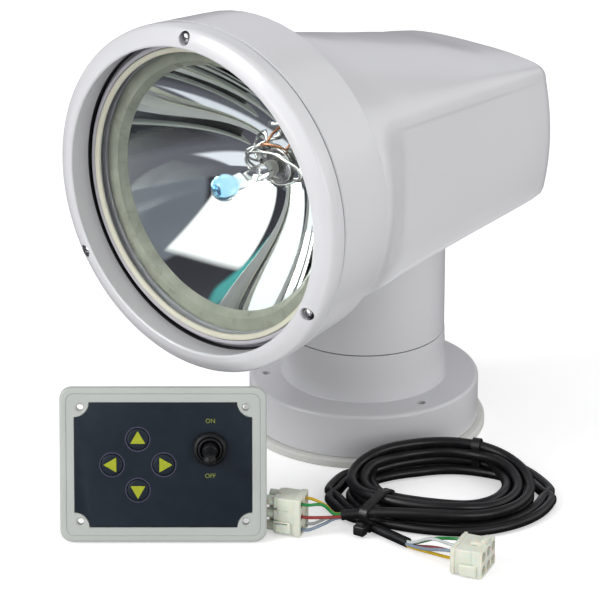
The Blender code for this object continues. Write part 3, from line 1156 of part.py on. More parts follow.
def connector(name, frame, length, silos, sockets):
    """A 2 by 3 housing: X along the wires, Y across the two columns, Z across the three rows."""
    shell = block(name, (length, CONNECTOR_DEPTH, CONNECTOR_HEIGHT), (0.0, 0.0, 0.0), NYLON,
                  edge=CONNECTOR_EDGE, segments=1, parent=frame)
    face = length / 2.0
    turn = (0.0, math.pi / 2.0, 0.0)
    spots = [(row * CONNECTOR_HEIGHT / 3.0, column * CONNECTOR_DEPTH / 4.0)
             for row in (-1, 0, 1) for column in (-1, 1)]
    if silos > 0.0:
        tubes = pegs(name + "_silos", SILO_RADIUS, -face - silos, CONNECTOR_EDGE - face, spots, steps=12, parent=frame)
        tubes.rotation_euler = turn
        fuse(shell, tubes)
    if sockets > 0.0:
        bores = pegs(name + "_sockets", SILO_RADIUS, face - sockets, face + CONNECTOR_EDGE, spots, steps=12,
                     parent=frame)
        bores.rotation_euler = turn
        cut(shell, bores)
    return shell


def wires(name, frame, start, heading, ends, skin):
    """A collar at the jacket's end with a thin tube running to each of the contacts in use."""
    start = Vector(start)
    heading = Vector(heading).normalized()
    turn = heading.to_track_quat("Z", "Y").to_euler()
    collar = disc(name, CABLE_RADIUS - GAP, GAP, WIRE_COLLAR, skin, steps=12, place=start, turn=turn, parent=frame)
    side = heading.cross(Vector((0.0, 0.0, 1.0))).normalized()
    above = side.cross(heading)
    middle = sum((Vector(end) for end, into in ends), Vector()) / len(ends)

    def bearing(pair):
        away = Vector(pair[0]) - middle
        return math.atan2(away.dot(above), away.dot(side))

    ordered = sorted(ends, key=bearing)
    step = 2.0 * math.pi / len(ordered)
    turned_by = sum(bearing(pair) - index * step for index, pair in enumerate(ordered)) / len(ordered)
    for index, (end, into) in enumerate(ordered):
        end = Vector(end)
        angle = turned_by + index * step
        spread = (side * math.cos(angle) + above * math.sin(angle)) * WIRE_SPREAD
        root = start + heading * (WIRE_COLLAR + GAP) / 2.0 + spread
        route = smooth_route((root, root + heading * WIRE_STRAIGHT, end - Vector(into) * WIRE_STRAIGHT, end), 5)
        source = tube(f"{name}_{index}_line", route, WIRE_RADIUS, None, resolution=0, cutter=True)
        fuse(collar, meshed(source, f"{name}_{index}", None, parent=frame, cutter=True))


def contacts(place, turn, length, roll, used):
    """Places on the wire side of a connector, just off its face, and the way into it, in set_frame."""
    ahead = Vector((math.cos(turn), math.sin(turn), 0.0))
    across = Vector((-ahead.y, ahead.x, 0.0))
    upward = Vector((0.0, 0.0, 1.0))
    if roll:
        across, upward = upward, -across
    face = Vector(place) + ahead * (length / 2.0 + math.copysign(CONTACT_GAP, length))
    way = ahead if length < 0.0 else -ahead
    spots = []
    for column, row in used:
        spots.append((face + across * (column * CONNECTOR_DEPTH / 4.0) + upward * (row * CONNECTOR_HEIGHT / 3.0), way))
    return spots


def cable_parts(frame):
    add("cable_coil", coil_mesh(), CABLE_BLACK, parent=frame)
    for name, along in TIE_PLACES.items():
        middle_x, middle_y, half, high = coil_section(along)
        low = COIL_BOTTOM - GAP
        tall = high + TIE_CLEAR - low
        place = (middle_x, middle_y, low + tall / 2.0)
        heading = (0.0, 0.0, coil_heading(along))
        inner = (2.0 * TIE_WIDTH, 2.0 * (half + TIE_CLEAR), tall)
        outer = (TIE_WIDTH, inner[1] + 2.0 * TIE_THICKNESS, tall + 2.0 * TIE_THICKNESS)
        tie = block(name, outer, place, CABLE_BLACK, turn=heading, parent=frame)
        out = half + TIE_CLEAR + TIE_THICKNESS / 2.0 + TIE_HEAD[1] / 2.0
        fuse(tie, block(name + "_head", TIE_HEAD, (*coil_point(along, out), TIE_HEAD[2] / 2.0 + TIE_HEAD_LIFT), None,
                        turn=heading, parent=frame, cutter=True))
        cut(tie, block(name + "_inside", inner, place, None, turn=heading, parent=frame, cutter=True))

    left_place = (*LEFT_CONNECTOR_PLACE, CONNECTOR_HEIGHT / 2.0 + GAP)
    right_place = (*RIGHT_CONNECTOR_PLACE, CONNECTOR_DEPTH / 2.0 + GAP)
    left = empty("connector_left_frame", left_place, (0.0, 0.0, LEFT_CONNECTOR_TURN), frame)
    right = empty("connector_right_frame", right_place, (math.pi / 2.0, 0.0, RIGHT_CONNECTOR_TURN), frame)
    connector("connector_left", left, LEFT_CONNECTOR_LENGTH, LEFT_SILO_LENGTH, 0.0)
    connector("connector_right", right, RIGHT_CONNECTOR_LENGTH, 0.0, RIGHT_SOCKET_DEPTH)

    clear = CABLE_RADIUS + CABLE_CLEAR
    low = CABLE_RADIUS + GAP
    first = LEFT_LEAD_START
    left_route = [(*coil_point(along, coil_section(along)[2] + clear), LEFT_LEAD_HEIGHT)
                  for along in (first, first - 0.10)]
    left_route.append((*LEFT_LEAD_END, LEFT_LEAD_HEIGHT))
    first = RIGHT_LEAD_START
    right_route = [(*coil_point(along, coil_section(along)[2] + clear), low) for along in (first, first + 0.12)]
    right_route.append((*RIGHT_LEAD_END, low))
    tube("cable_lead_left", smooth_route(left_route, 10), CABLE_RADIUS, CABLE_BLACK, parent=frame)
    tube("cable_lead_right", smooth_route(right_route, 10), CABLE_RADIUS, CABLE_BLACK, parent=frame)
    wires("cable_wires_left", frame, left_route[-1], Vector(left_route[-1]) - Vector(left_route[-2]),
          contacts(left_place, LEFT_CONNECTOR_TURN, LEFT_CONNECTOR_LENGTH, False, WIRES_LEFT),
          WIRE_COLOURS["yellow"])
    wires("cable_wires_right", frame, right_route[-1], Vector(right_route[-1]) - Vector(right_route[-2]),
          contacts(right_place, RIGHT_CONNECTOR_TURN, -RIGHT_CONNECTOR_LENGTH, True, WIRES_RIGHT),
          WIRE_COLOURS["green"])


def build():
    clear_scene()
    base_parts()
    pan_axis = empty("pan_axis")
    turret_parts(pan_axis)
    tilt_axis = empty("tilt_axis", (0.0, 0.0, TILT_HEIGHT), parent=pan_axis)
    lamp_frame = empty("lamp_frame", (0.0, 0.0, LAMP_HEIGHT - TILT_HEIGHT), (math.pi / 2.0, 0.0, 0.0), tilt_axis)
    head_parts(tilt_axis, lamp_frame)
    set_frame = empty("set_frame", turn=(0.0, 0.0, SET_TURN))
    panel_frame = empty("panel_frame", (*PANEL_PLACE, 0.0), (math.pi / 2.0 - PANEL_LEAN, 0.0, 0.0), set_frame)
    panel_parts(panel_frame)
    cable_parts(set_frame)
    bpy.context.view_layer.update()


build()
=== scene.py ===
"""Looks of the remote control searchlight, its control panel and its extension cable.

Metres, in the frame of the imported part: the lamp turns about Z at the origin and its beam leaves
along -Y. The panel and the cable lie in front of it, in a frame of their own turned about Z.
"""

import math

import bmesh
import bpy
import numpy as np
from mathutils import Matrix, Vector


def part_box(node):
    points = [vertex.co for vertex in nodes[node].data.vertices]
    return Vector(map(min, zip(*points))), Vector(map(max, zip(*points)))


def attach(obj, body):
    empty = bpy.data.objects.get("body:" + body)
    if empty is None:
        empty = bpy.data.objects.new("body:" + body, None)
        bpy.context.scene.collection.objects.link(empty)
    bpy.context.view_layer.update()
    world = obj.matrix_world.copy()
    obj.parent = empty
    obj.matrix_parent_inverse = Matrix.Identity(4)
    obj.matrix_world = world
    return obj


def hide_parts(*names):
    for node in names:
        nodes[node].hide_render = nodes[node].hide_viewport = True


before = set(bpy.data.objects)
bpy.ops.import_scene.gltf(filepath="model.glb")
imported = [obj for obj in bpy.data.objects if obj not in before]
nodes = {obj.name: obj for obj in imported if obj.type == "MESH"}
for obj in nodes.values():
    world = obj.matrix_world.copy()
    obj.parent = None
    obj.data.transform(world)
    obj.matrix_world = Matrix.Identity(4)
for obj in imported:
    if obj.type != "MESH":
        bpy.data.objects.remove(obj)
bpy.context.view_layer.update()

# Camera
CAMERA_PLACE = (1.15907, -1.43120, 0.8386)
CAMERA_PITCH = math.radians(67.20)
CAMERA_TURN = math.radians(40.0)
CAMERA_LENS = 240.0
CAMERA_SENSOR = 36.0
CAMERA_REACH = 60.0

# Frames
WORLD = Matrix.Identity(4)
SET = Matrix.Rotation(math.radians(40.0), 4, "Z")
PANEL_PLACE = (-0.0965, -0.1397, 0.0)
PANEL_LEAN = math.radians(14.0)
PANEL = SET @ Matrix.Translation(PANEL_PLACE) @ Matrix.Rotation(math.pi / 2.0 - PANEL_LEAN, 4, "X")
LAMP_HEIGHT = 0.1559
TILT_HEIGHT = 0.1500
LAMP = Matrix.Translation((0.0, 0.0, LAMP_HEIGHT)) @ Matrix.Rotation(math.pi / 2.0, 4, "X")

# Sides of turned pieces, from the lamp's rims down to screws, and the least gap between pieces
FINEST, FINE, DIAL, MEDIUM, SMALL = 240, 200, 96, 64, 32
CLEAR = 0.0003
# Edges that turn by more than this many degrees stay sharp
SHARP = 35.0


def clamp(value, low, high):
    return max(low, min(high, value))


def smoothstep(value, start, end):
    t = clamp((value - start) / (end - start), 0.0, 1.0)
    return t * t * (3.0 - 2.0 * t)


def tree_node(tree, kind, inputs=(), **settings):
    """A shader node with its settings, and its inputs as (name or number, value or socket) pairs."""
    made = tree.nodes.new(kind)
    for name, value in settings.items():
        setattr(made, name, value)
    for name, value in inputs:
        if isinstance(value, bpy.types.NodeSocket):
            tree.links.new(value, made.inputs[name])
        else:
            made.inputs[name].default_value = value
    return made


def noise(tree, size, detail=3.0):
    """A noise of this grain in metres, fixed to the piece."""
    place = tree_node(tree, "ShaderNodeTexCoord").outputs["Object"]
    scale = (1.0 / size,) * 3
    mapped = tree_node(tree, "ShaderNodeMapping", [("Vector", place), ("Scale", scale)]).outputs["Vector"]
    inputs = [("Vector", mapped), ("Scale", 1.0), ("Detail", detail)]
    return tree_node(tree, "ShaderNodeTexNoise", inputs).outputs[0]


def spread(tree, value, low, high, start=0.3, end=0.7):
    inputs = [("Value", value), ("From Min", start), ("From Max", end), ("To Min", low), ("To Max", high)]
    return tree_node(tree, "ShaderNodeMapRange", inputs).outputs["Result"]


def blend_colours(tree, factor, first, second):
    made = tree_node(tree, "ShaderNodeMix", [(0, factor)], data_type="RGBA")
    for number, value in ((6, first), (7, second)):
        if isinstance(value, bpy.types.NodeSocket):
            tree.links.new(value, made.inputs[number])
        else:
            made.inputs[number].default_value = (*value, 1.0)
    return made.outputs[2]


def shade(colour, factor):
    return tuple(clamp(channel * factor, 0.0, 1.0) for channel in colour)


def bumped(tree, height, distance, before=None):
    inputs = [("Height", height), ("Distance", distance), ("Strength", 1.0)]
    if before is not None:
        inputs.append(("Normal", before))
    return tree_node(tree, "ShaderNodeBump", inputs).outputs["Normal"]


def material(name):
    """A new material with its tree and shader."""
    made = bpy.data.materials.new(name)
    made.use_nodes = True
    return made, made.node_tree, made.node_tree.nodes["Principled BSDF"]


def skin(name, slot, colour, roughness, mottle, uneven, grain, wave=None, **sockets):
    """A surface with uneven gloss, mottles (strength, size), and grain and waves (size, depth)."""
    made, tree, shader = material(name)
    for socket, value in sockets.items():
        shader.inputs[socket.replace("_", " ")].default_value = value
    strength, size = mottle
    patches = spread(tree, noise(tree, size, 4.0), 0.0, 1.0)
    surface = blend_colours(tree, patches, shade(colour, 1.0 - strength), shade(colour, 1.0 + strength))
    tree.links.new(surface, shader.inputs["Base Color"])
    smears = noise(tree, size * 0.6, 5.0)
    tree.links.new(spread(tree, smears, roughness - uneven, roughness + uneven), shader.inputs["Roughness"])
    normal = bumped(tree, noise(tree, grain[0], 2.0), grain[1])
    if wave:
        normal = bumped(tree, noise(tree, wave[0], 1.0), wave[1], normal)
    tree.links.new(normal, shader.inputs["Normal"])
    return made


def glass(name, colour, ior, gloss, tip=None):
    """Clear glass with faint waves. A tip is a colour and the two heights between which it comes in."""
    made, tree, shader = material(name)
    shader.inputs["Transmission Weight"].default_value = 1.0
    shader.inputs["IOR"].default_value = ior
    shader.inputs["Specular IOR Level"].default_value = gloss
    marks = noise(tree, 0.03)
    tree.links.new(spread(tree, marks, 0.0, 0.02), shader.inputs["Roughness"])
    tree.links.new(bumped(tree, noise(tree, 0.02, 1.0), 0.000004), shader.inputs["Normal"])
    surface = blend_colours(tree, spread(tree, marks, 0.0, 1.0), shade(colour, 0.985), shade(colour, 1.0))
    if tip:
        tip_colour, start, end = tip
        place = tree_node(tree, "ShaderNodeTexCoord").outputs["Object"]
        height = tree_node(tree, "ShaderNodeSeparateXYZ", [(0, place)]).outputs["Z"]
        surface = blend_colours(tree, spread(tree, height, 0.0, 1.0, start, end), surface, tip_colour)
    tree.links.new(surface, shader.inputs["Base Color"])
    return made


# Painted and moulded surfaces of the lamp
WHITE = skin("white_paint", "white_gloss_plastic", (0.66, 0.66, 0.68), 0.32, (0.008, 0.06), 0.02,
             (0.0011, 0.0000022), (0.012, 0.000006), Coat_Weight=0.3, Coat_Roughness=0.15)
FLANGE_WHITE = skin("base_paint", "white_gloss_plastic", (0.63, 0.63, 0.65), 0.36, (0.010, 0.05), 0.03,
                    (0.0011, 0.0000025), Coat_Weight=0.25, Coat_Roughness=0.2)
FOOT_RUBBER = skin("foot_rubber", "pale_rubber", (0.66, 0.66, 0.63), 0.55, (0.03, 0.01), 0.05,
                   (0.0006, 0.00001))
CREAM = skin("cream_silicone", "cream_silicone", (0.66, 0.65, 0.53), 0.42, (0.03, 0.006), 0.05,
             (0.0005, 0.000008), Subsurface_Weight=0.15, Subsurface_Scale=0.002)
GREY_LIP = skin("grey_silicone", "cream_silicone", (0.48, 0.47, 0.51), 0.5, (0.05, 0.005), 0.05,
                (0.0005, 0.00001))
BLACK_RUBBER = skin("black_rubber", "black_rubber", (0.008, 0.008, 0.009), 0.48, (0.25, 0.003), 0.1,
                    (0.0004, 0.00002), Specular_IOR_Level=0.3)
GREY_PLASTIC = skin("grey_plastic", "grey_plastic", (0.17, 0.175, 0.18), 0.5, (0.08, 0.02), 0.05,
                    (0.0005, 0.00002))
# Dull olive film of the reflector's rim and flange, partly painted reflection: it stands in for the dark,
# greenish tone that the rim shows through the lens
RIM_FILM_AND_REFLECTION = skin("rim_film_and_painted_reflection", "mirror_aluminium", (0.40, 0.41, 0.34), 0.32, (0.18, 0.012), 0.1,
                (0.001, 0.00002))
CERAMIC = skin("stem_ceramic", "stainless_steel", (0.62, 0.60, 0.55), 0.5, (0.05, 0.002), 0.05,
               (0.0003, 0.000004))
LENS_GLASS = glass("lens_glass_clear", (0.95, 0.98, 0.95), 1.12, 0.12)
BULB_GLASS = glass("bulb_glass_tinted", (0.97, 0.98, 1.0), 1.48, 0.4, ((0.38, 0.72, 1.0), 0.0930, 0.1010))
# Metals
MIRROR = skin("mirror_aluminium", "mirror_aluminium", (0.88, 0.89, 0.90), 0.035, (0.02, 0.03), 0.02,
              (0.02, 0.000006), Metallic=1.0)
STEEL = skin("stainless_steel", "stainless_steel", (0.60, 0.59, 0.58), 0.19, (0.10, 0.002), 0.09,
             (0.0003, 0.000005), Metallic=1.0)
BRIGHT_WIRE = skin("spring_wire", "stainless_steel", (0.66, 0.65, 0.63), 0.2, (0.12, 0.003), 0.08,
                   (0.0002, 0.000003), Metallic=1.0)
COPPER = skin("copper", "stainless_steel", (0.62, 0.30, 0.17), 0.3, (0.2, 0.002), 0.1,
              (0.0002, 0.000004), Metallic=1.0)
BRONZE = skin("sintered_bronze", "sintered_bronze", (0.36, 0.21, 0.09), 0.42, (0.15, 0.001), 0.12,
              (0.0002, 0.000015), Metallic=1.0)
ZINC = skin("zinc_plate", "zinc_plated_steel", (0.50, 0.50, 0.50), 0.38, (0.1, 0.004), 0.1,
            (0.0004, 0.000005), Metallic=1.0)
# Panel
PANEL_GREY = skin("grey_green_plastic", "grey_green_plastic", (0.445, 0.470, 0.445), 0.46, (0.02, 0.02),
                  0.05, (0.0005, 0.00001))
NAVY = skin("navy_film", "navy_overlay", (0.0125, 0.0185, 0.027), 0.42, (0.08, 0.006), 0.06,
            (0.0004, 0.000008), Specular_IOR_Level=0.22)
LIME = skin("lime_print", "navy_overlay", (0.34, 0.38, 0.012), 0.42, (0.06, 0.002), 0.05, (0.0004, 0.000006))
DULL_LIME = skin("dull_lime_print", "navy_overlay", (0.17, 0.20, 0.035), 0.42, (0.08, 0.002), 0.05,
                 (0.0004, 0.000006))
RING_PRINT = skin("violet_grey_print", "navy_overlay", (0.052, 0.050, 0.092), 0.42, (0.15, 0.003), 0.05,
                  (0.0004, 0.000006))
BOARD = skin("circuit_board", "circuit_board", (0.02, 0.13, 0.05), 0.4, (0.1, 0.003), 0.05,
             (0.0005, 0.00002))
# Cable
NYLON = skin("natural_nylon", "natural_nylon", (0.70, 0.725, 0.625), 0.36, (0.035, 0.004), 0.05,
             (0.0005, 0.000006), Subsurface_Weight=0.35, Subsurface_Scale=0.0025)
JACKET = skin("black_vinyl", "black_vinyl", (0.0085, 0.0085, 0.0092), 0.36, (0.3, 0.008), 0.07,
              (0.0009, 0.000012), Specular_IOR_Level=0.38)
TIE_BLACK = skin("tie_nylon", "black_vinyl", (0.010, 0.010, 0.010), 0.4, (0.2, 0.003), 0.05,
                 (0.0004, 0.000012))
# Colour of each core of the cable and how strongly it is mottled
CORE_COLOURS = {
    "yellow": ((0.62, 0.40, 0.010), 0.08),
    "green": ((0.010, 0.23, 0.045), 0.1),
    "white": ((0.55, 0.58, 0.58), 0.05),
    "red": ((0.30, 0.035, 0.030), 0.1),
    "blue": ((0.22, 0.28, 0.36), 0.08),
}
CORE_SKINS = {}
for name, (colour, mottle) in CORE_COLOURS.items():
    CORE_SKINS[name] = skin(name + "_vinyl", "wire_vinyl", colour, 0.35, (mottle, 0.002), 0.05,
                            (0.0004, 0.000004))

# Stage
FLOOR_SIZE = 20.0
FLOOR_SINK = 0.0002
# Light that the camera alone sees on the floor, near the object, and where it rises to full white
FLOOR_BOOST = 0.42
FLOOR_FADE = (0.6, 1.8)
AMBIENT = 0.55
# The floor as mirrors see it: tones by place, across X and away from the lamp along -Y, and a bright patch
FLOOR_DARK = (0.012, 0.011, 0.014)
FLOOR_NEAR = (0.095, 0.090, 0.115)
FLOOR_FAR = (0.150, 0.148, 0.180)
FLOOR_LIGHT = (1.0, 1.0, 1.12)
FLOOR_SIDE = (0.056, 0.034)
FLOOR_DEPTH = (-0.30, -0.20)
FLOOR_PATCH = {"X": (-0.20, 0.21), "Y": (-0.80, -0.37)}
FLOOR_EDGE = 0.02
ROOM_TONE = (0.045, 0.043, 0.055)
# Panels of light or shade that mirrors see: turn about Z, rise and half sizes in degrees, and their tone
STUDIO_PANELS = (
    ((-38.0, 22.0, 20.0, 34.0), (0.19, 0.20, 0.24)),
    ((-97.0, 31.0, 33.0, 29.0), (1.45, 1.45, 1.50)),
    ((-151.0, 45.0, 5.0, 16.0), (0.10, 0.50, 0.50)),
    ((60.0, 25.0, 30.0, 20.0), (0.9, 0.9, 0.9)),
    ((130.0, 15.0, 25.0, 20.0), (0.7, 0.7, 0.75)),
)
PANEL_SOFTNESS = 0.03
# Lamps: name, place, target, width and height, watts
LAMPS = (
    ("key", (-0.9, -2.25, 1.6), (0.0, -0.03, 0.12), (1.3, 1.0), 34.0),
    ("fill", (2.3, -0.35, 0.8), (0.0, 0.0, 0.10), (1.2, 1.2), 17.0),
    ("front", (-0.7, -2.6, 0.35), (0.0, 0.0, 0.05), (1.5, 0.5), 9.5),
    ("top", (0.1, 0.3, 2.6), (0.0, 0.0, 0.0), (1.8, 1.8), 6.0),
    ("side", (1.9, 1.3, 0.9), (0.05, 0.0, 0.15), (1.2, 1.2), 4.0),
)


def shown(name, data):
    """A new object of the scene."""
    made = bpy.data.objects.new(name, data)
    bpy.context.scene.collection.objects.link(made)
    return made


def make_camera():
    camera = shown("camera", bpy.data.cameras.new("camera"))
    camera.location = CAMERA_PLACE
    camera.rotation_euler = (CAMERA_PITCH, 0.0, CAMERA_TURN)
    camera.data.lens = CAMERA_LENS
    camera.data.sensor_width = CAMERA_SENSOR
    camera.data.clip_end = CAMERA_REACH
    bpy.context.scene.camera = camera


def maths(tree, operation, first, second):
    return tree_node(tree, "ShaderNodeMath", [(0, first), (1, second)], operation=operation).outputs[0]


def along_axis(tree, way, axis):
    inputs = [(0, way), (1, axis)]
    return tree_node(tree, "ShaderNodeVectorMath", inputs, operation="DOT_PRODUCT").outputs["Value"]


def by_ray(tree, plain, mirrored, output):
    """Show one shader plainly and another to rays that see the stage by way of metal or glass."""
    path = tree_node(tree, "ShaderNodeLightPath").outputs
    factor = maths(tree, "MAXIMUM", path["Is Glossy Ray"], path["Is Transmission Ray"])
    mixed = tree_node(tree, "ShaderNodeMixShader", [(0, factor), (1, plain), (2, mirrored)])
    tree.links.new(mixed.outputs["Shader"], tree.nodes[output].inputs["Surface"])


def floor_in_mirrors(tree, axes):
    """The floor's tones as a mirror sees them."""
    near = blend_colours(tree, spread(tree, axes["X"], 0.0, 1.0, *FLOOR_SIDE), FLOOR_DARK, FLOOR_NEAR)
    seen = blend_colours(tree, spread(tree, axes["Y"], 1.0, 0.0, *FLOOR_DEPTH), near, FLOOR_FAR)
    patch = 1.0
    for axis, (low, high) in FLOOR_PATCH.items():
        for start, end in ((low - FLOOR_EDGE, low + FLOOR_EDGE), (high + FLOOR_EDGE, high - FLOOR_EDGE)):
            patch = maths(tree, "MULTIPLY", spread(tree, axes[axis], 0.0, 1.0, start, end), patch)
    return blend_colours(tree, patch, seen, FLOOR_LIGHT)


def floor_paint():
    """White for the camera, with the object's shadow, and the tones above for mirrors."""
    paint = bpy.data.materials.new("floor_white")
    paint.use_nodes = True
    tree = paint.node_tree
    shader = tree.nodes["Principled BSDF"]
    shader.inputs["Base Color"].default_value = (0.82, 0.82, 0.82, 1.0)
    shader.inputs["Roughness"].default_value = 0.9
    shader.inputs["Specular IOR Level"].default_value = 0.1
    shader.inputs["Emission Color"].default_value = (1.0, 1.0, 1.0, 1.0)
    camera_ray = tree_node(tree, "ShaderNodeLightPath").outputs["Is Camera Ray"]
    place = tree_node(tree, "ShaderNodeTexCoord").outputs["Object"]
    away = tree_node(tree, "ShaderNodeVectorMath", [(0, place)], operation="LENGTH").outputs["Value"]
    boost = spread(tree, away, FLOOR_BOOST, 1.0, *FLOOR_FADE)
    tree.links.new(maths(tree, "MULTIPLY", camera_ray, boost), shader.inputs["Emission Strength"])
    seen = floor_in_mirrors(tree, tree_node(tree, "ShaderNodeSeparateXYZ", [(0, place)]).outputs)
    mirrored = tree_node(tree, "ShaderNodeEmission", [("Color", seen), ("Strength", 1.0)])
    by_ray(tree, shader.outputs["BSDF"], mirrored.outputs["Emission"], "Material Output")
    return paint


def make_floor():
    mesh = bpy.data.meshes.new("floor")
    shape = bmesh.new()
    bmesh.ops.create_grid(shape, x_segments=1, y_segments=1, size=FLOOR_SIZE)
    shape.to_mesh(mesh)
    shape.free()
    floor = shown("floor", mesh)
    floor.location.z = -FLOOR_SINK
    mesh.materials.append(floor_paint())


def studio_panel(tree, way, turn, rise, wide, tall):
    """1 inside a soft-edged rectangle of directions, with its middle at this turn from +X and rise."""
    middle = Vector((math.cos(turn) * math.cos(rise), math.sin(turn) * math.cos(rise), math.sin(rise)))
    side = Vector((-math.sin(turn), math.cos(turn), 0.0))
    above = middle.cross(side)
    ahead = along_axis(tree, way, middle)
    inside = spread(tree, ahead, 0.0, 1.0, 0.0, 0.02)
    for axis, reach in ((side, wide), (above, tall)):
        ratio = maths(tree, "DIVIDE", along_axis(tree, way, axis), maths(tree, "MAXIMUM", ahead, 0.001))
        size = maths(tree, "ABSOLUTE", ratio, 0.0)
        limit = math.tan(reach)
        edge = spread(tree, size, 1.0, 0.0, limit - PANEL_SOFTNESS, limit + PANEL_SOFTNESS)
        inside = maths(tree, "MULTIPLY", inside, edge)
    return inside


def make_world():
    """White for the camera, even for soft light, and for mirrors a dark room with a few bright panels."""
    world = bpy.data.worlds.new("studio")
    bpy.context.scene.world = world
    world.use_nodes = True
    tree = world.node_tree
    plain = tree.nodes["Background"]
    plain.inputs["Color"].default_value = (1.0, 1.0, 1.0, 1.0)
    camera_ray = tree_node(tree, "ShaderNodeLightPath").outputs["Is Camera Ray"]
    tree.links.new(spread(tree, camera_ray, AMBIENT, 1.0, 0.0, 1.0), plain.inputs["Strength"])
    way = tree_node(tree, "ShaderNodeTexCoord").outputs["Generated"]
    colour = ROOM_TONE
    for place, tone in STUDIO_PANELS:
        colour = blend_colours(tree, studio_panel(tree, way, *map(math.radians, place)), colour, tone)
    room = tree_node(tree, "ShaderNodeBackground", [("Color", colour), ("Strength", 1.0)])
    by_ray(tree, plain.outputs["Background"], room.outputs["Background"], "World Output")


def make_lamp(name, place, target, size, power):
    lamp = bpy.data.lights.new(name, "AREA")
    lamp.shape = "RECTANGLE"
    lamp.size, lamp.size_y = size
    lamp.energy = power
    holder = shown(name, lamp)
    holder.location = place
    holder.rotation_euler = (Vector(target) - Vector(place)).to_track_quat("-Z", "Y").to_euler()
    holder.visible_camera = False


# Shapes
def piece(name, data, finish, body, place=WORLD, replaces=()):
    """A piece of the object: its finish, the body it rides on, and the CAD nodes that it stands for."""
    finishes = finish if isinstance(finish, tuple) else (finish,)
    data.name = name
    for used in finishes:
        data.materials.append(used)
    made = shown(name, data)
    made.matrix_world = place
    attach(made, body)
    if replaces:
        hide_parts(*replaces)
    return made


def smoothed(mesh, angle=SHARP):
    mesh.shade_smooth()
    mesh.set_sharp_from_angle(angle=math.radians(angle))
    return mesh


def shape_mesh(shape, angle=SHARP):
    bmesh.ops.recalc_face_normals(shape, faces=shape.faces)
    mesh = bpy.data.meshes.new("shape")
    shape.to_mesh(mesh)
    shape.free()
    return smoothed(mesh, angle)


def evaluated(holder):
    """The mesh that an object's modifiers make. The object goes."""
    bpy.context.view_layer.update()
    mesh = bpy.data.meshes.new_from_object(holder.evaluated_get(bpy.context.evaluated_depsgraph_get()))
    bpy.data.objects.remove(holder, do_unlink=True)
    mesh.materials.clear()
    return mesh


def carved(mesh, tools, operation="DIFFERENCE"):
    """A closed mesh after an exact Boolean with each of the tools, one after the other."""
    holder = shown("carved", mesh)
    cutters = [shown("cutter", tool) for tool in tools]
    for cutter in cutters:
        step = holder.modifiers.new("Cut", "BOOLEAN")
        step.operation = operation
        step.object = cutter
        step.solver = "EXACT"
    result = smoothed(evaluated(holder))
    for cutter in cutters:
        bpy.data.objects.remove(cutter, do_unlink=True)
    return result


def moved(mesh, *place):
    mesh.transform(Matrix.Translation(place))
    return mesh


def soft(corners, steps=4, closed=True):
    """Corners as (x, y, how far the rounding reaches from the corner), turned into a smooth outline."""
    points = []
    count = len(corners)
    for index, (x, y, reach) in enumerate(corners):
        here = Vector((x, y))
        if reach <= 0.0 or (not closed and index in (0, count - 1)):
            points.append((x, y))
            continue
        before = Vector(corners[index - 1][:2]) - here
        after = Vector(corners[(index + 1) % count][:2]) - here
        start = here + before.normalized() * min(reach, 0.48 * before.length)
        end = here + after.normalized() * min(reach, 0.48 * after.length)
        points += [tuple(quadratic(start, here, end, step / steps)) for step in range(steps + 1)]
    return points


def quadratic(start, corner, end, t):
    return (1.0 - t) ** 2 * start + 2.0 * t * (1.0 - t) * corner + t * t * end


def turned(profile, steps=FINE, closed=True, angle=SHARP, band=None):
    """Turn (radius, height) points about Z. A band of radii may take the second finish."""
    shape = bmesh.new()
    rings = []
    for radius, height in profile:
        if radius < 1e-7:
            rings.append([shape.verts.new((0.0, 0.0, height))])
        else:
            rings.append([shape.verts.new((x, y, height)) for x, y in around(radius, steps, 0.0)])
    count = len(rings)
    for index in range(count if closed else count - 1):
        one, two = rings[index], rings[(index + 1) % count]
        wider = max(profile[index][0], profile[(index + 1) % count][0])
        for i in range(steps):
            after = (i + 1) % steps
            corners = [one[i % len(one)], one[after % len(one)], two[after % len(two)], two[i % len(two)]]
            corners = list(dict.fromkeys(corners))
            if len(corners) > 2:
                face = shape.faces.new(corners)
                face.material_index = int(bool(band) and band[0] <= wider <= band[1])
    return shape_mesh(shape, angle)


def extruded(outline, low, high, edge=0.0, segments=2):
    """A flat outline between two heights, with its edges rounded."""
    shape = bmesh.new()
    bottom = [shape.verts.new((x, y, low)) for x, y in outline]
    top = [shape.verts.new((x, y, high)) for x, y in outline]
    shape.faces.new(bottom[::-1])
    shape.faces.new(top)
    bridge(shape, bottom, top, len(outline))
    bmesh.ops.recalc_face_normals(shape, faces=shape.faces)
    if edge > 0.0:
        rims = [e for e in shape.edges if abs(e.verts[0].co.z - e.verts[1].co.z) < 1e-9]
        bmesh.ops.bevel(shape, geom=rims, offset=edge, segments=segments, profile=0.5, affect="EDGES")
    return shape_mesh(shape)


def bridge(shape, one, two, count):
    """Faces between the first corners of two rings, which close where the count is all of them."""
    for index in range(count):
        after = (index + 1) % len(one)
        shape.faces.new((one[index], one[after], two[after], two[index]))


def block(size, centre=(0.0, 0.0, 0.0), edge=0.0004, segments=2):
    """A box with rounded edges."""
    shape = bmesh.new()
    bmesh.ops.create_cube(shape, size=1.0)
    for point in shape.verts:
        point.co = Vector([point.co[axis] * size[axis] + centre[axis] for axis in range(3)])
    if edge > 0.0:
        bmesh.ops.bevel(shape, geom=shape.edges[:], offset=edge, segments=segments, profile=0.5,
                        affect="EDGES")
    return shape_mesh(shape)


def rod(radius, low, high, centre=(0.0, 0.0), steps=SMALL, edge=0.0):
    corners = [(0.0, low, 0.0), (radius, low, edge), (radius, high, edge), (0.0, high, 0.0)]
    return moved(turned(soft(corners, 3, closed=False), steps, closed=False), *centre, 0.0)


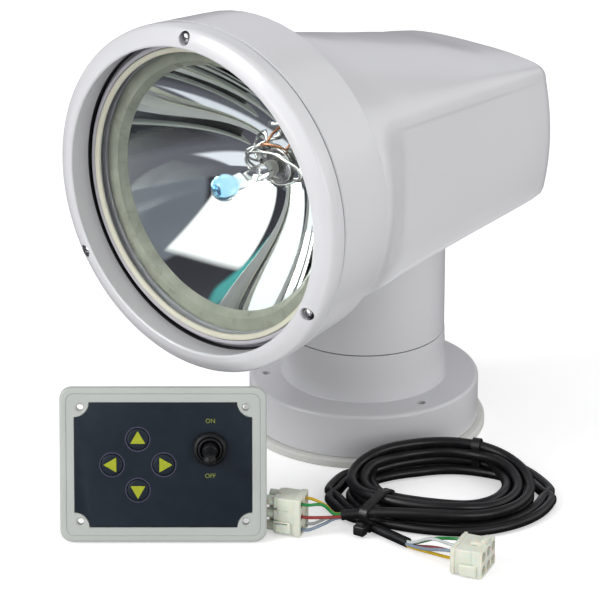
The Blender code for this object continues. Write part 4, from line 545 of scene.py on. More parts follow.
def tube(points, radius, resolution=3, cyclic=False):
    """A round wire along a smooth curve that these points pull on."""
    curve = bpy.data.curves.new("tube", "CURVE")
    curve.dimensions = "3D"
    curve.bevel_depth = radius
    curve.bevel_resolution = resolution
    curve.use_fill_caps = True
    curve.resolution_u = 4
    line = curve.splines.new("NURBS")
    line.points.add(len(points) - 1)
    for point, place in zip(line.points, points):
        point.co = (*place, 1.0)
    line.use_cyclic_u = cyclic
    line.order_u = 4
    line.use_endpoint_u = not cyclic
    return curve


def around(radius, count, first):
    """Places on a circle, with the first at this angle from the X axis."""
    angles = [first + 2.0 * math.pi * i / count for i in range(count)]
    return [(radius * math.cos(angle), radius * math.sin(angle)) for angle in angles]


def dome(radius, top, *degrees, squash=1.0):
    """Points of a profile on a ball with its top at this height, at these angles from the top."""
    angles = [math.radians(angle) for angle in degrees]
    return [(radius * math.sin(a), top - squash * radius * (1.0 - math.cos(a))) for a in angles]


# Cable
CABLE_RADIUS = 0.00245
CABLE_WIDTH = 2.0 * CABLE_RADIUS
# Middle, half width and top of the bundle, at the same places round it as in the part's own source
COIL_PLACES = (
    (0.0835, -0.0980, 0.0110, 0.0115),
    (0.0720, -0.0690, 0.0072, 0.0140),
    (0.0570, -0.0592, 0.0052, 0.0175),
    (0.0380, -0.0572, 0.0048, 0.0205),
    (0.0215, -0.0640, 0.0047, 0.0220),
    (0.0055, -0.0682, 0.0050, 0.0205),
    (-0.0080, -0.0765, 0.0070, 0.0165),
    (-0.0122, -0.0960, 0.0108, 0.0135),
    (-0.0045, -0.1150, 0.0095, 0.0150),
    (0.0125, -0.1270, 0.0075, 0.0155),
    (0.0370, -0.1325, 0.0085, 0.0150),
    (0.0620, -0.1285, 0.0100, 0.0130),
    (0.0780, -0.1150, 0.0110, 0.0120),
)
# Where the turns begin and end and where each moves over to the next, counted along COIL_PLACES
CABLE_TURNS = 8
CABLE_START = 8.45
CABLE_END = 8.75 + len(COIL_PLACES) * CABLE_TURNS
CABLE_INSET = 0.35
CABLE_SAMPLE = 0.2
CABLE_SHIFT = (9.6, 12.4)
CABLE_WAVE = 0.0011
# Spacing of the route's points, room to the foot, and how the turns settle
CABLE_STEP = 0.0036
CABLE_CLEAR = 0.0006
CABLE_PASSES = 260
CABLE_HELD_ENDS = 0.030
CABLE_SPACING = 1.02
CABLE_PUSH = 0.75
CABLE_BEND = 0.30
CABLE_PULL = 0.004
LEFT_LEAD_START = 8.32
LEFT_LEAD_HEIGHT = 0.0090
LEFT_LEAD_END = (-0.0126, -0.1315)
RIGHT_LEAD_START = (8.98, 9.10)
RIGHT_LEAD_END = (0.0188, -0.1482)
# Where each turn lies in the bundle, as (column from the outside, row from the top), by number of columns
STACKS = {
    2: ((0, 0), (1, 0), (1, 1), (0, 1), (0, 2), (1, 2), (1, 3), (0, 3)),
    3: ((0, 0), (1, 0), (2, 0), (2, 1), (1, 1), (0, 1), (1, 2), (0, 2)),
    4: ((0, 0), (1, 0), (2, 0), (3, 0), (3, 1), (2, 1), (1, 1), (0, 1)),
}


def catmull(a, b, c, d, t):
    return 0.5 * (2.0 * b + (c - a) * t + (2.0 * a - 5.0 * b + 4.0 * c - d) * t * t
                  + (3.0 * b - a - 3.0 * c + d) * t ** 3)


def coil_section(along):
    """The bundle's measures at a place counted along COIL_PLACES, a smooth closed run."""
    span = int(math.floor(along))
    near = [Vector(COIL_PLACES[(span + k) % len(COIL_PLACES)]) for k in (-1, 0, 1, 2)]
    return catmull(*near, along - span)


def coil_point(along, outward):
    here = coil_section(along)
    ahead = coil_section(along + 0.05) - coil_section(along - 0.05)
    normal = Vector((ahead.y, -ahead.x)).normalized()
    return here.x + normal.x * outward, here.y + normal.y * outward


def beside_coil(along, height):
    """A place just outside the bundle."""
    clear = CABLE_RADIUS + CABLE_CLEAR
    return Vector((*coil_point(along, coil_section(along)[2] + clear), height))


def stacked(section, turn):
    """How far outwards and how high a turn lies in a section of the bundle."""
    half, top = section[2:]
    columns = int(clamp(round(2.0 * half / CABLE_WIDTH - 0.15), 2, 4))
    column, row = STACKS[columns][turn]
    rows = 1 + max(place[1] for place in STACKS[columns])
    pitch = min(CABLE_WIDTH * 1.01, (top - CABLE_WIDTH - CLEAR) / (rows - 1))
    spacing = max(CABLE_WIDTH, 2.0 * half / columns)
    outward = (0.5 * (columns - 1) - column) * spacing
    return outward, CABLE_RADIUS + CLEAR + (rows - 1 - row) * pitch


def cable_target(along):
    """Where the cable wants to lie at this place along its turns."""
    count = len(COIL_PLACES)
    turn = int(clamp((along - CABLE_START) // count, 0, CABLE_TURNS - 1))
    share = smoothstep(CABLE_START + (along - CABLE_START) % count, *CABLE_SHIFT)
    section = coil_section(along)
    first, following = stacked(section, turn), stacked(section, min(turn + 1, CABLE_TURNS - 1))
    outward, height = [one + (two - one) * share for one, two in zip(first, following)]
    wave = CABLE_WAVE * math.sin(2.0 * math.pi * along / count * 2.0 + 1.9 * turn) * math.cos(0.7 * along)
    return Vector((*coil_point(along, outward + wave), height))


def even(points, step):
    """The same route with its points this far apart."""
    places = np.array([tuple(p) for p in points])
    lengths = np.concatenate([[0.0], np.cumsum(np.linalg.norm(np.diff(places, axis=0), axis=1))])
    wanted = np.linspace(0.0, lengths[-1], int(round(lengths[-1] / step)) + 1)
    return np.stack([np.interp(wanted, lengths, places[:, k]) for k in range(3)], axis=1)


def smooth_route(points, count):
    """Points of a smooth curve through the given ones."""
    places = [Vector(point) for point in points]
    padded = [2.0 * places[0] - places[1]] + places + [2.0 * places[-1] - places[-2]]
    spans = len(places) - 1
    route = []
    for index in range(count + 1):
        along = spans * index / count
        span = min(int(along), spans - 1)
        route.append(catmull(*padded[span:span + 4], along - span))
    return route


def cable_route():
    """The whole cable: in from the left connector, round the bundle, and out to the right connector."""
    low = CABLE_RADIUS + CLEAR
    left = [Vector((*LEFT_LEAD_END, LEFT_LEAD_HEIGHT)), beside_coil(LEFT_LEAD_START, LEFT_LEAD_HEIGHT)]
    right = [beside_coil(along, low) for along in RIGHT_LEAD_START] + [Vector((*RIGHT_LEAD_END, low))]
    samples = int((CABLE_END - CABLE_INSET - CABLE_START - CABLE_INSET) / CABLE_SAMPLE)
    turns = [cable_target(CABLE_START + CABLE_INSET + i * CABLE_SAMPLE) for i in range(samples)]
    return relaxed(even(smooth_route(left + turns + right, 12 * (len(turns) + 5)), CABLE_STEP))


def pushes(places, near_self):
    """How each point is pushed out of the turns that it lies inside."""
    gaps = places[:, None, :] - places[None, :, :]
    distance = np.linalg.norm(gaps, axis=2)
    distance[near_self] = 1.0
    inside = np.clip(CABLE_WIDTH * CABLE_SPACING - distance, 0.0, None)
    push = (gaps / np.maximum(distance, 1e-6)[:, :, None] * inside[:, :, None]).sum(axis=1)
    touching = np.maximum((inside > 0.0).sum(axis=1), 1)[:, None]
    return CABLE_PUSH * push / touching


def relaxed(target):
    """Move the turns apart until none lies inside another, above the floor and off the lamp's foot."""
    places = target.copy()
    index = np.arange(len(places))
    near_self = np.abs(index[:, None] - index[None, :]) * CABLE_STEP < 5.0 * CABLE_RADIUS
    ends = int(round(CABLE_HELD_ENDS / CABLE_STEP))
    held = np.clip(np.minimum(index, index[::-1]) / ends, 0.0, 1.0)[:, None]
    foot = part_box("base_gasket")[1].x + CABLE_RADIUS + CABLE_CLEAR
    for _ in range(CABLE_PASSES):
        places = places + pushes(places, near_self) * held
        bend = np.zeros_like(places)
        bend[1:-1] = 0.5 * (places[:-2] + places[2:]) - places[1:-1]
        places += (CABLE_BEND * bend + CABLE_PULL * (target - places)) * held
        places[:, 2] = np.maximum(places[:, 2], CABLE_RADIUS + CLEAR)
        reach = np.linalg.norm(places[:, :2], axis=1)
        places[:, :2] += places[:, :2] / reach[:, None] * np.clip(foot - reach, 0.0, None)[:, None]
    return places


def make_cable(points):
    return piece("extension_cable", tube(points, CABLE_RADIUS, 4), JACKET, "base", SET,
                 ("cable_coil", "cable_lead_left", "cable_lead_right"))


# Lamp head: along the axis from the tilt axle, front to back, and across it
DRUM_FRONT, DRUM_BACK = 0.1177, 0.0820
DRUM_FRONT_RADIUS, DRUM_BACK_RADIUS = 0.0845, 0.0805
DRUM_PLACES = (0.1120, 0.1060, 0.1000, 0.0940, 0.0880)
DRUM_BEVEL = 0.0006
DRUM_EDGE = 0.0005
HOUSING_WALL = 0.0028
HOUSING_SHARP = 40.0
# Distance behind the drum, half width, heights of the lower edge, crease and crown, flatness of the crown
COWL_SECTIONS = (
    (0.0, 0.0640, -0.0454, 0.0396, 0.0671, 2.0),
    (0.0320, 0.0620, -0.0451, 0.0361, 0.0606, 2.1),
    (0.0620, 0.0585, -0.0454, 0.0326, 0.0526, 2.2),
    (0.0920, 0.0547, -0.0461, 0.0289, 0.0441, 2.3),
    (0.1220, 0.0508, -0.0471, 0.0253, 0.0356, 2.5),
    (0.1520, 0.0468, -0.0481, 0.0213, 0.0263, 2.8),
    (0.1670, 0.0445, -0.0485, 0.0186, 0.0223, 3.0),
    (0.1725, 0.0425, -0.0475, 0.0160, 0.0193, 3.0),
    (0.1770, 0.0380, -0.0450, 0.0105, 0.0135, 3.0),
    (0.1805, 0.0260, -0.0430, -0.0020, 0.0010, 3.0),
)
# Rings of the cowl behind the drum: close together in the fillet and towards the rounded end
COWL_PLACES = ([0.0010 * i for i in range(1, 7)] + [0.0090 + 0.0040 * i for i in range(38)]
               + [0.1630 + 0.0010 * i for i in range(1, 18)] + [0.1805])
# Relief of the cowl's sides, and the distances behind the drum over which it comes and goes
COWL_LEDGE, COWL_LEDGE_DROP = 0.0007, 0.0050
COWL_LEDGE_START, COWL_LEDGE_END = (0.012, 0.040), (0.150, 0.170)
COWL_LIP, COWL_LIP_HEIGHT = 0.0008, 0.0018
COWL_LIP_END = (0.155, 0.170)
COWL_BULGE = 0.0034
COWL_BULGE_RANGE = (0.095, 0.168)
COWL_ROUNDING = 0.0060
# How the cowl runs into the drum: in a fillet all round, and at length on the sides below these heights
COWL_FILLET = 0.0060
COWL_FILLET_SHARE = 0.55
COWL_BLEND = 0.0380
COWL_BLEND_HEIGHTS = (0.015, 0.055)
COWL_BOTTOM_STEPS = 24
AXLE_BOSS_ENDS = (0.0425, 0.0535)
AXLE_BOSS_RADIUS = 0.0090
# Front ring
RING_FRONT, RING_BACK, RING_INNER_BACK = 0.1307, 0.1185, 0.1138
RING_RADIUS, RING_BACK_RADIUS = 0.0850, 0.0845
RING_OPENING, RING_THROAT = 0.0751, 0.0769
RING_WALL = 0.0026
RING_INSIDE = RING_FRONT - RING_WALL
RING_DROP = 0.0034
RING_PROFILE = (
    (RING_OPENING, RING_FRONT - 0.0007, 0.0),
    (RING_OPENING + 0.0007, RING_FRONT, 0.0006),
    (RING_OPENING + 0.0040, RING_FRONT - 0.0004, 0.0020),
    (RING_RADIUS - 0.0030, RING_FRONT - 0.0019, 0.0018),
    (RING_RADIUS - 0.0003, RING_FRONT - 0.0037, 0.0022),
    (RING_RADIUS, RING_FRONT - 0.0075, 0.0015),
    (RING_BACK_RADIUS, RING_BACK, 0.0005),
    (RING_BACK_RADIUS - RING_WALL, RING_BACK, 0.0003),
    (RING_BACK_RADIUS - RING_WALL, RING_INSIDE - RING_DROP, 0.0010),
    (RING_OPENING + RING_WALL, RING_INSIDE, 0.0010),
    (RING_THROAT + 0.0012, RING_INNER_BACK, 0.0002),
    (RING_THROAT, RING_INNER_BACK, 0.0002),
)
RING_SCREW_CIRCLE = 0.0802
RING_SCREW_TURN = math.radians(92.0)
RING_SCREW_FLOOR, RING_SCREW_END = 0.1278, 0.1050
RING_SCREW_HEAD, RING_SCREW_RISE = 0.0025, 0.0017
RING_WASHER, RING_WASHER_HOLE, RING_WASHER_THICK = 0.0032, 0.0015, 0.0004
# Thin seals as inner radius, outer radius, back and front
THROAT_SEAL = (0.0759, 0.0765, 0.1150, 0.1173)
SEAM_SEAL = (0.0811, 0.0839, 0.1178, 0.1184)
# Lens, its bead in front and the seat round and behind it
LENS_RADIUS, LENS_CROWN = 0.0715, 0.0012
LENS_FRONT, LENS_BACK = 0.1160, 0.1124
LENS_EDGE = 0.0005
LIP_RADIUS, LIP_JOINT, LIP_LOW = 0.0690, 0.0718, 0.1163
SEAT_OUTER, SEAT_FOOT_RADIUS, SEAT_FOOT, SEAT_REST = 0.0746, 0.0776, 0.1105, 0.1121
BEAD_PROFILE = (
    (LIP_RADIUS, LIP_LOW, 0.0002),
    (LIP_RADIUS + 0.0003, LIP_LOW + 0.0012, 0.0006),
    (LIP_JOINT - 0.0003, LIP_LOW + 0.0017, 0.0006),
    (LIP_JOINT, LIP_LOW + 0.0008, 0.0002),
    (LIP_JOINT, LIP_LOW, 0.0),
)
SEAT_PROFILE = (
    (LIP_JOINT + 0.0002, LIP_LOW + 0.0010, 0.0002),
    (LIP_JOINT + 0.0006, LIP_LOW + 0.0014, 0.0004),
    (SEAT_OUTER - 0.0008, LIP_LOW + 0.0014, 0.0006),
    (SEAT_OUTER, LIP_LOW, 0.0004),
    (SEAT_OUTER, SEAT_FOOT + 0.0030, 0.0),
    (SEAT_FOOT_RADIUS, SEAT_FOOT + 0.0030, 0.0002),
    (SEAT_FOOT_RADIUS, SEAT_FOOT, 0.0002),
    (LIP_RADIUS, SEAT_FOOT, 0.0003),
    (LIP_RADIUS, SEAT_REST, 0.0003),
    (LENS_RADIUS + 0.0003, SEAT_REST, 0.0),
    (LENS_RADIUS + 0.0003, LIP_LOW, 0.0),
    (LIP_JOINT + 0.0002, LIP_LOW, 0.0),
)
# Reflector
REFLECTOR_RADIUS, REFLECTOR_RIM, REFLECTOR_FOCUS = 0.0620, 0.1087, 0.0220
# Radius from which the bowl and its flange take the dull olive film, a band of painted reflection at the
# bowl's outer rim
REFLECTOR_DARK = 0.0606
REFLECTOR_WALL = 0.0015
REFLECTOR_SKIRT, REFLECTOR_BACK = 0.0738, 0.1013
REFLECTOR_RINGS = 56
REFLECTOR_SHARP = 30.0
BULB_HOLE = 0.0110


def gentle_slope(place, k):
    """The flatter of the slopes of a measure on either side of a row of COWL_SECTIONS."""
    rows = COWL_SECTIONS[max(place - 1, 0):place + 2]
    return min(((q[k] - p[k]) / (q[0] - p[0]) for p, q in zip(rows, rows[1:])), key=abs)


def hermite(low, high, low_slope, high_slope, t):
    return ((2.0 * t ** 3 - 3.0 * t * t + 1.0) * low + (t ** 3 - 2.0 * t * t + t) * low_slope
            + (3.0 * t * t - 2.0 * t ** 3) * high + (t ** 3 - t * t) * high_slope)


def section_at(behind):
    """The cowl's measures this far behind the drum, on a smooth run through COWL_SECTIONS."""
    index = 0
    while index < len(COWL_SECTIONS) - 2 and behind > COWL_SECTIONS[index + 1][0]:
        index += 1
    low, high = COWL_SECTIONS[index:index + 2]
    span = high[0] - low[0]
    t = clamp((behind - low[0]) / span, 0.0, 1.0)
    return [hermite(low[k], high[k], span * gentle_slope(index, k), span * gentle_slope(index + 1, k), t)
            for k in range(1, 6)]


def side_heights(low, top):
    """Heights up a side of the cowl, close together in the lip and in the ledge under the crease."""
    lip, ledge = low + COWL_LIP_HEIGHT, top - COWL_LEDGE_DROP
    heights = [low + share * COWL_LIP_HEIGHT for share in (0.0, 0.3, 0.7, 1.0)]
    heights += [lip + (ledge - lip) * i / 8 for i in range(1, 9)]
    return heights + [top - COWL_LEDGE_DROP * (1.0 - i / 6) for i in range(1, 7)]


def cowl_outline(behind):
    """A section of the cowl from its lower edge on one side, over the crown, to the other lower edge."""
    half, low, crease, crown, flatness = section_at(behind)
    reach = min(COWL_ROUNDING, 0.4 * (crease - low), 0.4 * half)
    top, inner = crease - reach, half - reach
    ledge = COWL_LEDGE * smoothstep(behind, *COWL_LEDGE_START) * (1.0 - smoothstep(behind, *COWL_LEDGE_END))
    lip = COWL_LIP * (1.0 - smoothstep(behind, *COWL_LIP_END))
    bulge = COWL_BULGE * smoothstep(behind, *COWL_BULGE_RANGE)

    def crown_point(across):
        return across, crease + (crown - crease) * (1.0 - abs(across / half) ** flatness)

    side = []
    for height in side_heights(low, top):
        out = lip * (1.0 - smoothstep(height - low, 0.3 * COWL_LIP_HEIGHT, COWL_LIP_HEIGHT))
        out += ledge * smoothstep(height, top - 0.6 * COWL_LEDGE_DROP, top - 0.2 * COWL_LEDGE_DROP)
        out += bulge * (1.0 - ((2.0 * height - low - top) / (top - low)) ** 2)
        side.append((half + out, height))
    start, corner, end = Vector(side[-1]), Vector((half + ledge, crease)), Vector(crown_point(inner))
    rounding = [tuple(quadratic(start, corner, end, i / 8)) for i in range(1, 9)]
    points = side + rounding + [crown_point(inner * math.cos(math.pi / 2.0 * i / 14)) for i in range(1, 15)]
    return points + [(-x, z) for x, z in points[-2::-1]]


def drum_share(behind, height):
    """How far a place of the cowl is drawn out to the drum."""
    fillet = COWL_FILLET_SHARE * max(0.0, 1.0 - behind / COWL_FILLET) ** 2
    beside = 1.0 - smoothstep(height, *COWL_BLEND_HEIGHTS)
    return max(fillet, beside * (1.0 - smoothstep(behind, 0.0, COWL_BLEND)))


def drawn_out(outline, rim, behind):
    points = []
    for (x, z), (rim_x, rim_z) in zip(outline, rim):
        share = drum_share(behind, z)
        points.append((x + (rim_x - x) * share, z + (rim_z - z) * share))
    return points


def drum_rings():
    """Radius and place along the axis of the drum's rings, from its front to its rounded back edge."""
    slope = (DRUM_FRONT_RADIUS - DRUM_BACK_RADIUS) / (DRUM_FRONT - DRUM_BACK)
    rings = [(DRUM_FRONT_RADIUS - DRUM_BEVEL, DRUM_FRONT), (DRUM_FRONT_RADIUS, DRUM_FRONT - DRUM_BEVEL)]
    rings += [(DRUM_FRONT_RADIUS - slope * (DRUM_FRONT - along), along) for along in DRUM_PLACES]
    for angle in (math.pi / 8.0 * step for step in range(5)):
        rings.append((DRUM_BACK_RADIUS - DRUM_EDGE * (1.0 - math.cos(angle)),
                      DRUM_BACK + DRUM_EDGE * (1.0 - math.sin(angle))))
    return rings


def housing_mesh():
    """The drum's side and the cowl behind it as one skin without a wall, open in front and below."""
    shape = bmesh.new()

    def ring(points, along):
        return [shape.verts.new((x, -along, z + LAMP_HEIGHT)) for x, z in points]

    def circle(radius):
        return [(radius * math.cos(a), radius * math.sin(a)) for a in angles]

    mouth = cowl_outline(0.0)
    upper = len(mouth) - 1
    half, low = mouth[0]
    mouth += [(-half + 2.0 * half * i / COWL_BOTTOM_STEPS, low) for i in range(1, COWL_BOTTOM_STEPS)]
    angles = [math.atan2(z, x) for x, z in mouth]
    rings = [ring(circle(radius), along) for radius, along in drum_rings()]
    rim = circle(DRUM_BACK_RADIUS - DRUM_EDGE)
    for one, two in zip(rings, rings[1:]):
        bridge(shape, one, two, len(mouth))
    full = ring(drawn_out(mouth[:upper + 1], rim, 0.0) + mouth[upper + 1:], DRUM_BACK)
    bridge(shape, rings[-1], full, len(mouth))
    previous = full[:upper + 1]
    for behind in COWL_PLACES:
        current = ring(drawn_out(cowl_outline(behind), rim, behind), DRUM_BACK - behind)
        bridge(shape, previous, current, upper)
        previous = current
    shape.faces.new(previous)
    return shape_mesh(shape, HOUSING_SHARP)


def make_housing():
    holder = shown("housing", housing_mesh())
    wall = holder.modifiers.new("Wall", "SOLIDIFY")
    wall.thickness = HOUSING_WALL
    wall.offset = -1.0
    wall.use_even_offset = False
    piece("housing", smoothed(evaluated(holder), HOUSING_SHARP), WHITE, "head", replaces=("head_housing",))
    for side, word in ((1, "right"), (-1, "left")):
        place = Matrix.Translation((0.0, 0.0, TILT_HEIGHT)) @ Matrix.Rotation(side * math.pi / 2.0, 4, "Y")
        boss = rod(AXLE_BOSS_RADIUS, *AXLE_BOSS_ENDS, steps=MEDIUM, edge=0.001)
        piece("axle_boss_" + word, boss, WHITE, "head", place)


def cross_recess(size, depth, top):
    """Two crossed blades that sink a driver's cross into a screw head below this height."""
    width = 0.17 * size
    blades = []
    for turn in (0.0, math.pi / 2.0):
        outline = [(-size, -width), (size, -width), (size, width), (-size, width)]
        blade = extruded(outline, top - depth, top + depth)
        blade.transform(Matrix.Rotation(turn + 0.4, 4, "Z"))
        blades.append(blade)
    return blades


def seal(inner, outer, back, front, steps=FINE):
    return turned([(inner, back), (outer, back), (outer, front), (inner, front)], steps)


def make_ring_screw(index, place):
    """A pan-head screw of the ring, each turned another way, and the washer under its head."""
    floor, radius, rise = RING_SCREW_FLOOR, RING_SCREW_HEAD, RING_SCREW_RISE
    profile = dome(radius, floor + rise, 0, 18, 36, 54, 72, 86, squash=0.58 * rise / radius)
    profile += [(radius, floor + 0.36 * rise), (radius, floor), (0.52 * radius, floor)]
    profile += [(0.52 * radius, RING_SCREW_END), (0.0, RING_SCREW_END)]
    recess = cross_recess(0.55 * radius, 0.55 * rise, floor + rise)
    screw = carved(turned(profile, MEDIUM, closed=False), recess)
    turn = LAMP @ Matrix.Translation((*place, 0.0)) @ Matrix.Rotation(0.7 * index, 4, "Z")
    piece(f"bezel_screw_{index + 1}", screw, STEEL, "head", turn, (f"ring_screw_{index + 1}",))
    washer = seal(RING_WASHER_HOLE, RING_WASHER, floor - RING_WASHER_THICK, floor, MEDIUM)
    piece(f"screw_washer_{index + 1}", moved(washer, *place, 0.0), BLACK_RUBBER, "head", LAMP)


def make_ring():
    places = around(RING_SCREW_CIRCLE, 3, RING_SCREW_TURN)
    ends = (RING_SCREW_FLOOR - 0.0005, RING_FRONT + 0.002)
    spots = [rod(RING_WASHER + 0.0001, *ends, place) for place in places]
    ring = carved(turned(soft(RING_PROFILE, 5), FINEST), spots)
    piece("bezel_ring", ring, WHITE, "head", LAMP, ("front_ring",))
    for index, place in enumerate(places):
        make_ring_screw(index, place)
    piece("throat_seal", seal(*THROAT_SEAL), BLACK_RUBBER, "head", LAMP)
    piece("seam_seal", seal(*SEAM_SEAL), BLACK_RUBBER, "head", LAMP, ("housing_seal",))


def lens_curve(radius):
    return LENS_CROWN * (1.0 - (radius / LENS_RADIUS) ** 2)


def make_lens():
    radii = [LENS_RADIUS * i / 12 for i in range(12)]
    inner = LENS_RADIUS - LENS_EDGE
    profile = [(r, LENS_FRONT + lens_curve(r)) for r in radii]
    profile += [(inner, LENS_FRONT), (LENS_RADIUS, LENS_FRONT - LENS_EDGE)]
    profile += [(LENS_RADIUS, LENS_BACK + LENS_EDGE), (inner, LENS_BACK)]
    profile += [(r, LENS_BACK + 0.7 * lens_curve(r)) for r in radii[::-1]]
    piece("lens_disc", turned(profile, closed=False), LENS_GLASS, "head", LAMP, ("lens_glass",))
    piece("lens_bead", turned(soft(BEAD_PROFILE)), CREAM, "head", LAMP)
    piece("lens_seat", turned(soft(SEAT_PROFILE)), GREY_LIP, "head", LAMP, ("lens_gasket",))


def bowl(radius):
    return REFLECTOR_RIM - (REFLECTOR_RADIUS ** 2 - radius ** 2) / (4.0 * REFLECTOR_FOCUS)


def make_reflector():
    """The mirror's bowl with the flange and skirt that hold it. The bowl's outer rim and the flange take a
    duller olive film, which is partly painted reflection: the dark, greenish tone that the rim shows through
    the lens.
    """
    wall, skirt = REFLECTOR_WALL, REFLECTOR_SKIRT
    depth = REFLECTOR_RADIUS - BULB_HOLE
    radii = [BULB_HOLE + depth * i / REFLECTOR_RINGS for i in range(REFLECTOR_RINGS + 1)]
    face = [(BULB_HOLE - 0.0003, bowl(BULB_HOLE) - 0.0008)] + [(r, bowl(r)) for r in radii]
    flange = soft([(REFLECTOR_RADIUS + 0.0007, REFLECTOR_RIM + wall - 0.0002, 0.0006),
                   (skirt, REFLECTOR_RIM + wall, 0.0006), (skirt, REFLECTOR_BACK, 0.0002),
                   (skirt - wall, REFLECTOR_BACK, 0.0002), (skirt - wall, REFLECTOR_RIM, 0.0003)], 3)
    back = [(r + 0.5 * wall, bowl(r) - wall) for r in radii[::4]]
    mesh = turned(face + flange + back[::-1], FINEST, angle=REFLECTOR_SHARP, band=(REFLECTOR_DARK, 1.0))
    piece("mirror_bowl", mesh, (MIRROR, RIM_FILM_AND_REFLECTION), "head", LAMP, ("reflector",))


# Bulb, along the lamp's axis
BULB_TIP, BULB_BALL, BULB_FOOT = 0.1112, 0.0066, 0.0682
BULB_NECK = [(0.0042, 0.0986), (0.0040, 0.0970), (0.0040, 0.0760), (0.0042, 0.0712), (0.0034, BULB_FOOT),
             (0.0, BULB_FOOT)]
COLLAR_PROFILE = (
    (0.0, 0.0679, 0.0), (0.0060, 0.0679, 0.0), (0.0062, 0.0668, 0.0003), (0.0088, 0.0668, 0.0006),
    (0.0088, 0.0574, 0.0004), (0.0062, 0.0569, 0.0003), (0.0062, 0.0519, 0.0005), (0.0, 0.0519, 0.0),
)
SOCKET_PROFILE = (
    (0.0091, 0.0646, 0.0003), (0.0150, 0.0646, 0.0005), (0.0150, 0.0626, 0.0005), (0.0128, 0.0614, 0.0005),
    (0.0128, 0.0576, 0.0005), (0.0091, 0.0576, 0.0003),
)
STEM_PROFILE = ((0.0, 0.0690, 0.0), (0.0035, 0.0690, 0.0004), (0.0035, 0.0730, 0.0006), (0.0, 0.0730, 0.0))
# The clip is a loop of wire. A quarter of it runs from the axis' side to its end on the bowl
CLIP_REACH = 0.0158
CLIP_END = bowl(CLIP_REACH) + 0.0012
CLIP_QUARTER = ((0.0, 0.0078, 0.0700), (0.6 * CLIP_REACH, 0.0066, 0.0725), (CLIP_REACH, 0.0030, CLIP_END))
CLIP_TURN = (CLIP_REACH + 0.0016, 0.0, CLIP_END + 0.0012)
WIRE, POST_WIRE, FILAMENT_WIRE = 0.0006, 0.0003, 0.00012
POST_ROUTE = ((0.0016, 0.0, 0.0684), (0.0020, 0.0004, 0.0760), (0.0024, 0.0, 0.0850), (0.0020, 0.0, 0.0905))
FILAMENT_LENGTH, FILAMENT_COIL, FILAMENT_HEIGHT = 0.0040, 0.0006, 0.0905
FILAMENT_STEPS = 60
BULB_LEADS = (
    (BRIGHT_WIRE, ((-0.0050, 0.0072, 0.0640), (-0.0075, 0.0095, 0.0700), (-0.0120, 0.0085, 0.0745),
                   (-0.0150, 0.0040, 0.0730), (-0.0130, 0.0, 0.0690), (-0.0100, -0.0010, 0.0640))),
    (COPPER, ((0.0050, 0.0078, 0.0640), (0.0068, 0.0110, 0.0690), (0.0035, 0.0135, 0.0740),
              (-0.0035, 0.0130, 0.0750), (-0.0075, 0.0095, 0.0700), (-0.0070, 0.0075, 0.0640))),
)
BULB_TAB = ((0.0060, 0.0040, 0.0006), (-0.0075, 0.0045, 0.0688), 0.0002)


def clip_route():
    """The clip's loop, from its left end along one side of the bulb to the right end and back."""
    right = list(CLIP_QUARTER)
    half = [(-x, y, z) for x, y, z in right[:0:-1]] + right + [CLIP_TURN]
    return half + [(-x, -y, z) for x, y, z in half]


def make_bulb():
    envelope = turned(dome(BULB_BALL, BULB_TIP, *range(0, 133, 12)) + BULB_NECK, MEDIUM, closed=False)
    piece("bulb_envelope", envelope, BULB_GLASS, "head", LAMP, ("bulb_glass",))
    collar = turned(soft(COLLAR_PROFILE, 3, closed=False), MEDIUM, closed=False)
    piece("bulb_collar", collar, STEEL, "head", LAMP, ("bulb_base",))
    piece("bulb_socket", turned(soft(SOCKET_PROFILE, 3), MEDIUM), STEEL, "head", LAMP, ("bulb_holder",))
    piece("bulb_spring", tube(clip_route(), WIRE, cyclic=True), BRIGHT_WIRE, "head", LAMP, ("bulb_clip",))
    for side, word in ((-1, "left"), (1, "right")):
        route = [(side * x, y, z) for x, y, z in POST_ROUTE]
        piece("filament_post_" + word, tube(route, POST_WIRE, 2), BRIGHT_WIRE, "head", LAMP)
    coil = [(FILAMENT_LENGTH * (i / FILAMENT_STEPS - 0.5), FILAMENT_COIL * math.cos(i * 0.9),
             FILAMENT_HEIGHT + FILAMENT_COIL * math.sin(i * 0.9)) for i in range(FILAMENT_STEPS + 1)]
    piece("filament", tube(coil, FILAMENT_WIRE, 1), BRIGHT_WIRE, "head", LAMP)
    stem = turned(soft(STEM_PROFILE, 3, closed=False), SMALL, closed=False)
    piece("bulb_stem", stem, CERAMIC, "head", LAMP)
    for number, (used, route) in enumerate(BULB_LEADS, 1):
        piece(f"bulb_lead_{number}", tube(route, WIRE, 2), used, "head", LAMP)
    piece("bulb_tab", block(*BULB_TAB), BRIGHT_WIRE, "head", LAMP)


# Base and turret: (radius, height, rounding) of their profiles
FLANGE_PROFILE = (
    (0.0116, 0.0512, 0.0), (0.0403, 0.0512, 0.0004), (0.0409, 0.0266, 0.0008), (0.0575, 0.0266, 0.0020),
    (0.0575, 0.0043, 0.0003), (0.0545, 0.0043, 0.0003), (0.0545, 0.0236, 0.0010), (0.0373, 0.0236, 0.0010),
    (0.0373, 0.0460, 0.0005), (0.0116, 0.0460, 0.0003),
)
HOLE_CIRCLE, HOLE_RADIUS, GASKET_HOLE = 0.0490, 0.0021, 0.0023
HOLE_TURN = math.radians(-15.4)
SLEEVE_PROFILE = ((HOLE_RADIUS, 0.0235, 0.0), (0.0044, 0.0235, 0.0), (0.0044, 0.0045, 0.0003),
                  (HOLE_RADIUS, 0.0045, 0.0003))
GASKET_PROFILE = ((0.0430, 0.0040, 0.0002), (0.0610, 0.0040, 0.0013), (0.0610, 0.0, 0.0004),
                  (0.0430, 0.0, 0.0002))
TURRET_PROFILE = (
    (0.0371, 0.1150, 0.0004), (0.0401, 0.1150, 0.0004), (0.0401, 0.0516, 0.0004), (0.0090, 0.0516, 0.0),
    (0.0090, 0.0552, 0.0), (0.0371, 0.0552, 0.0010),
)


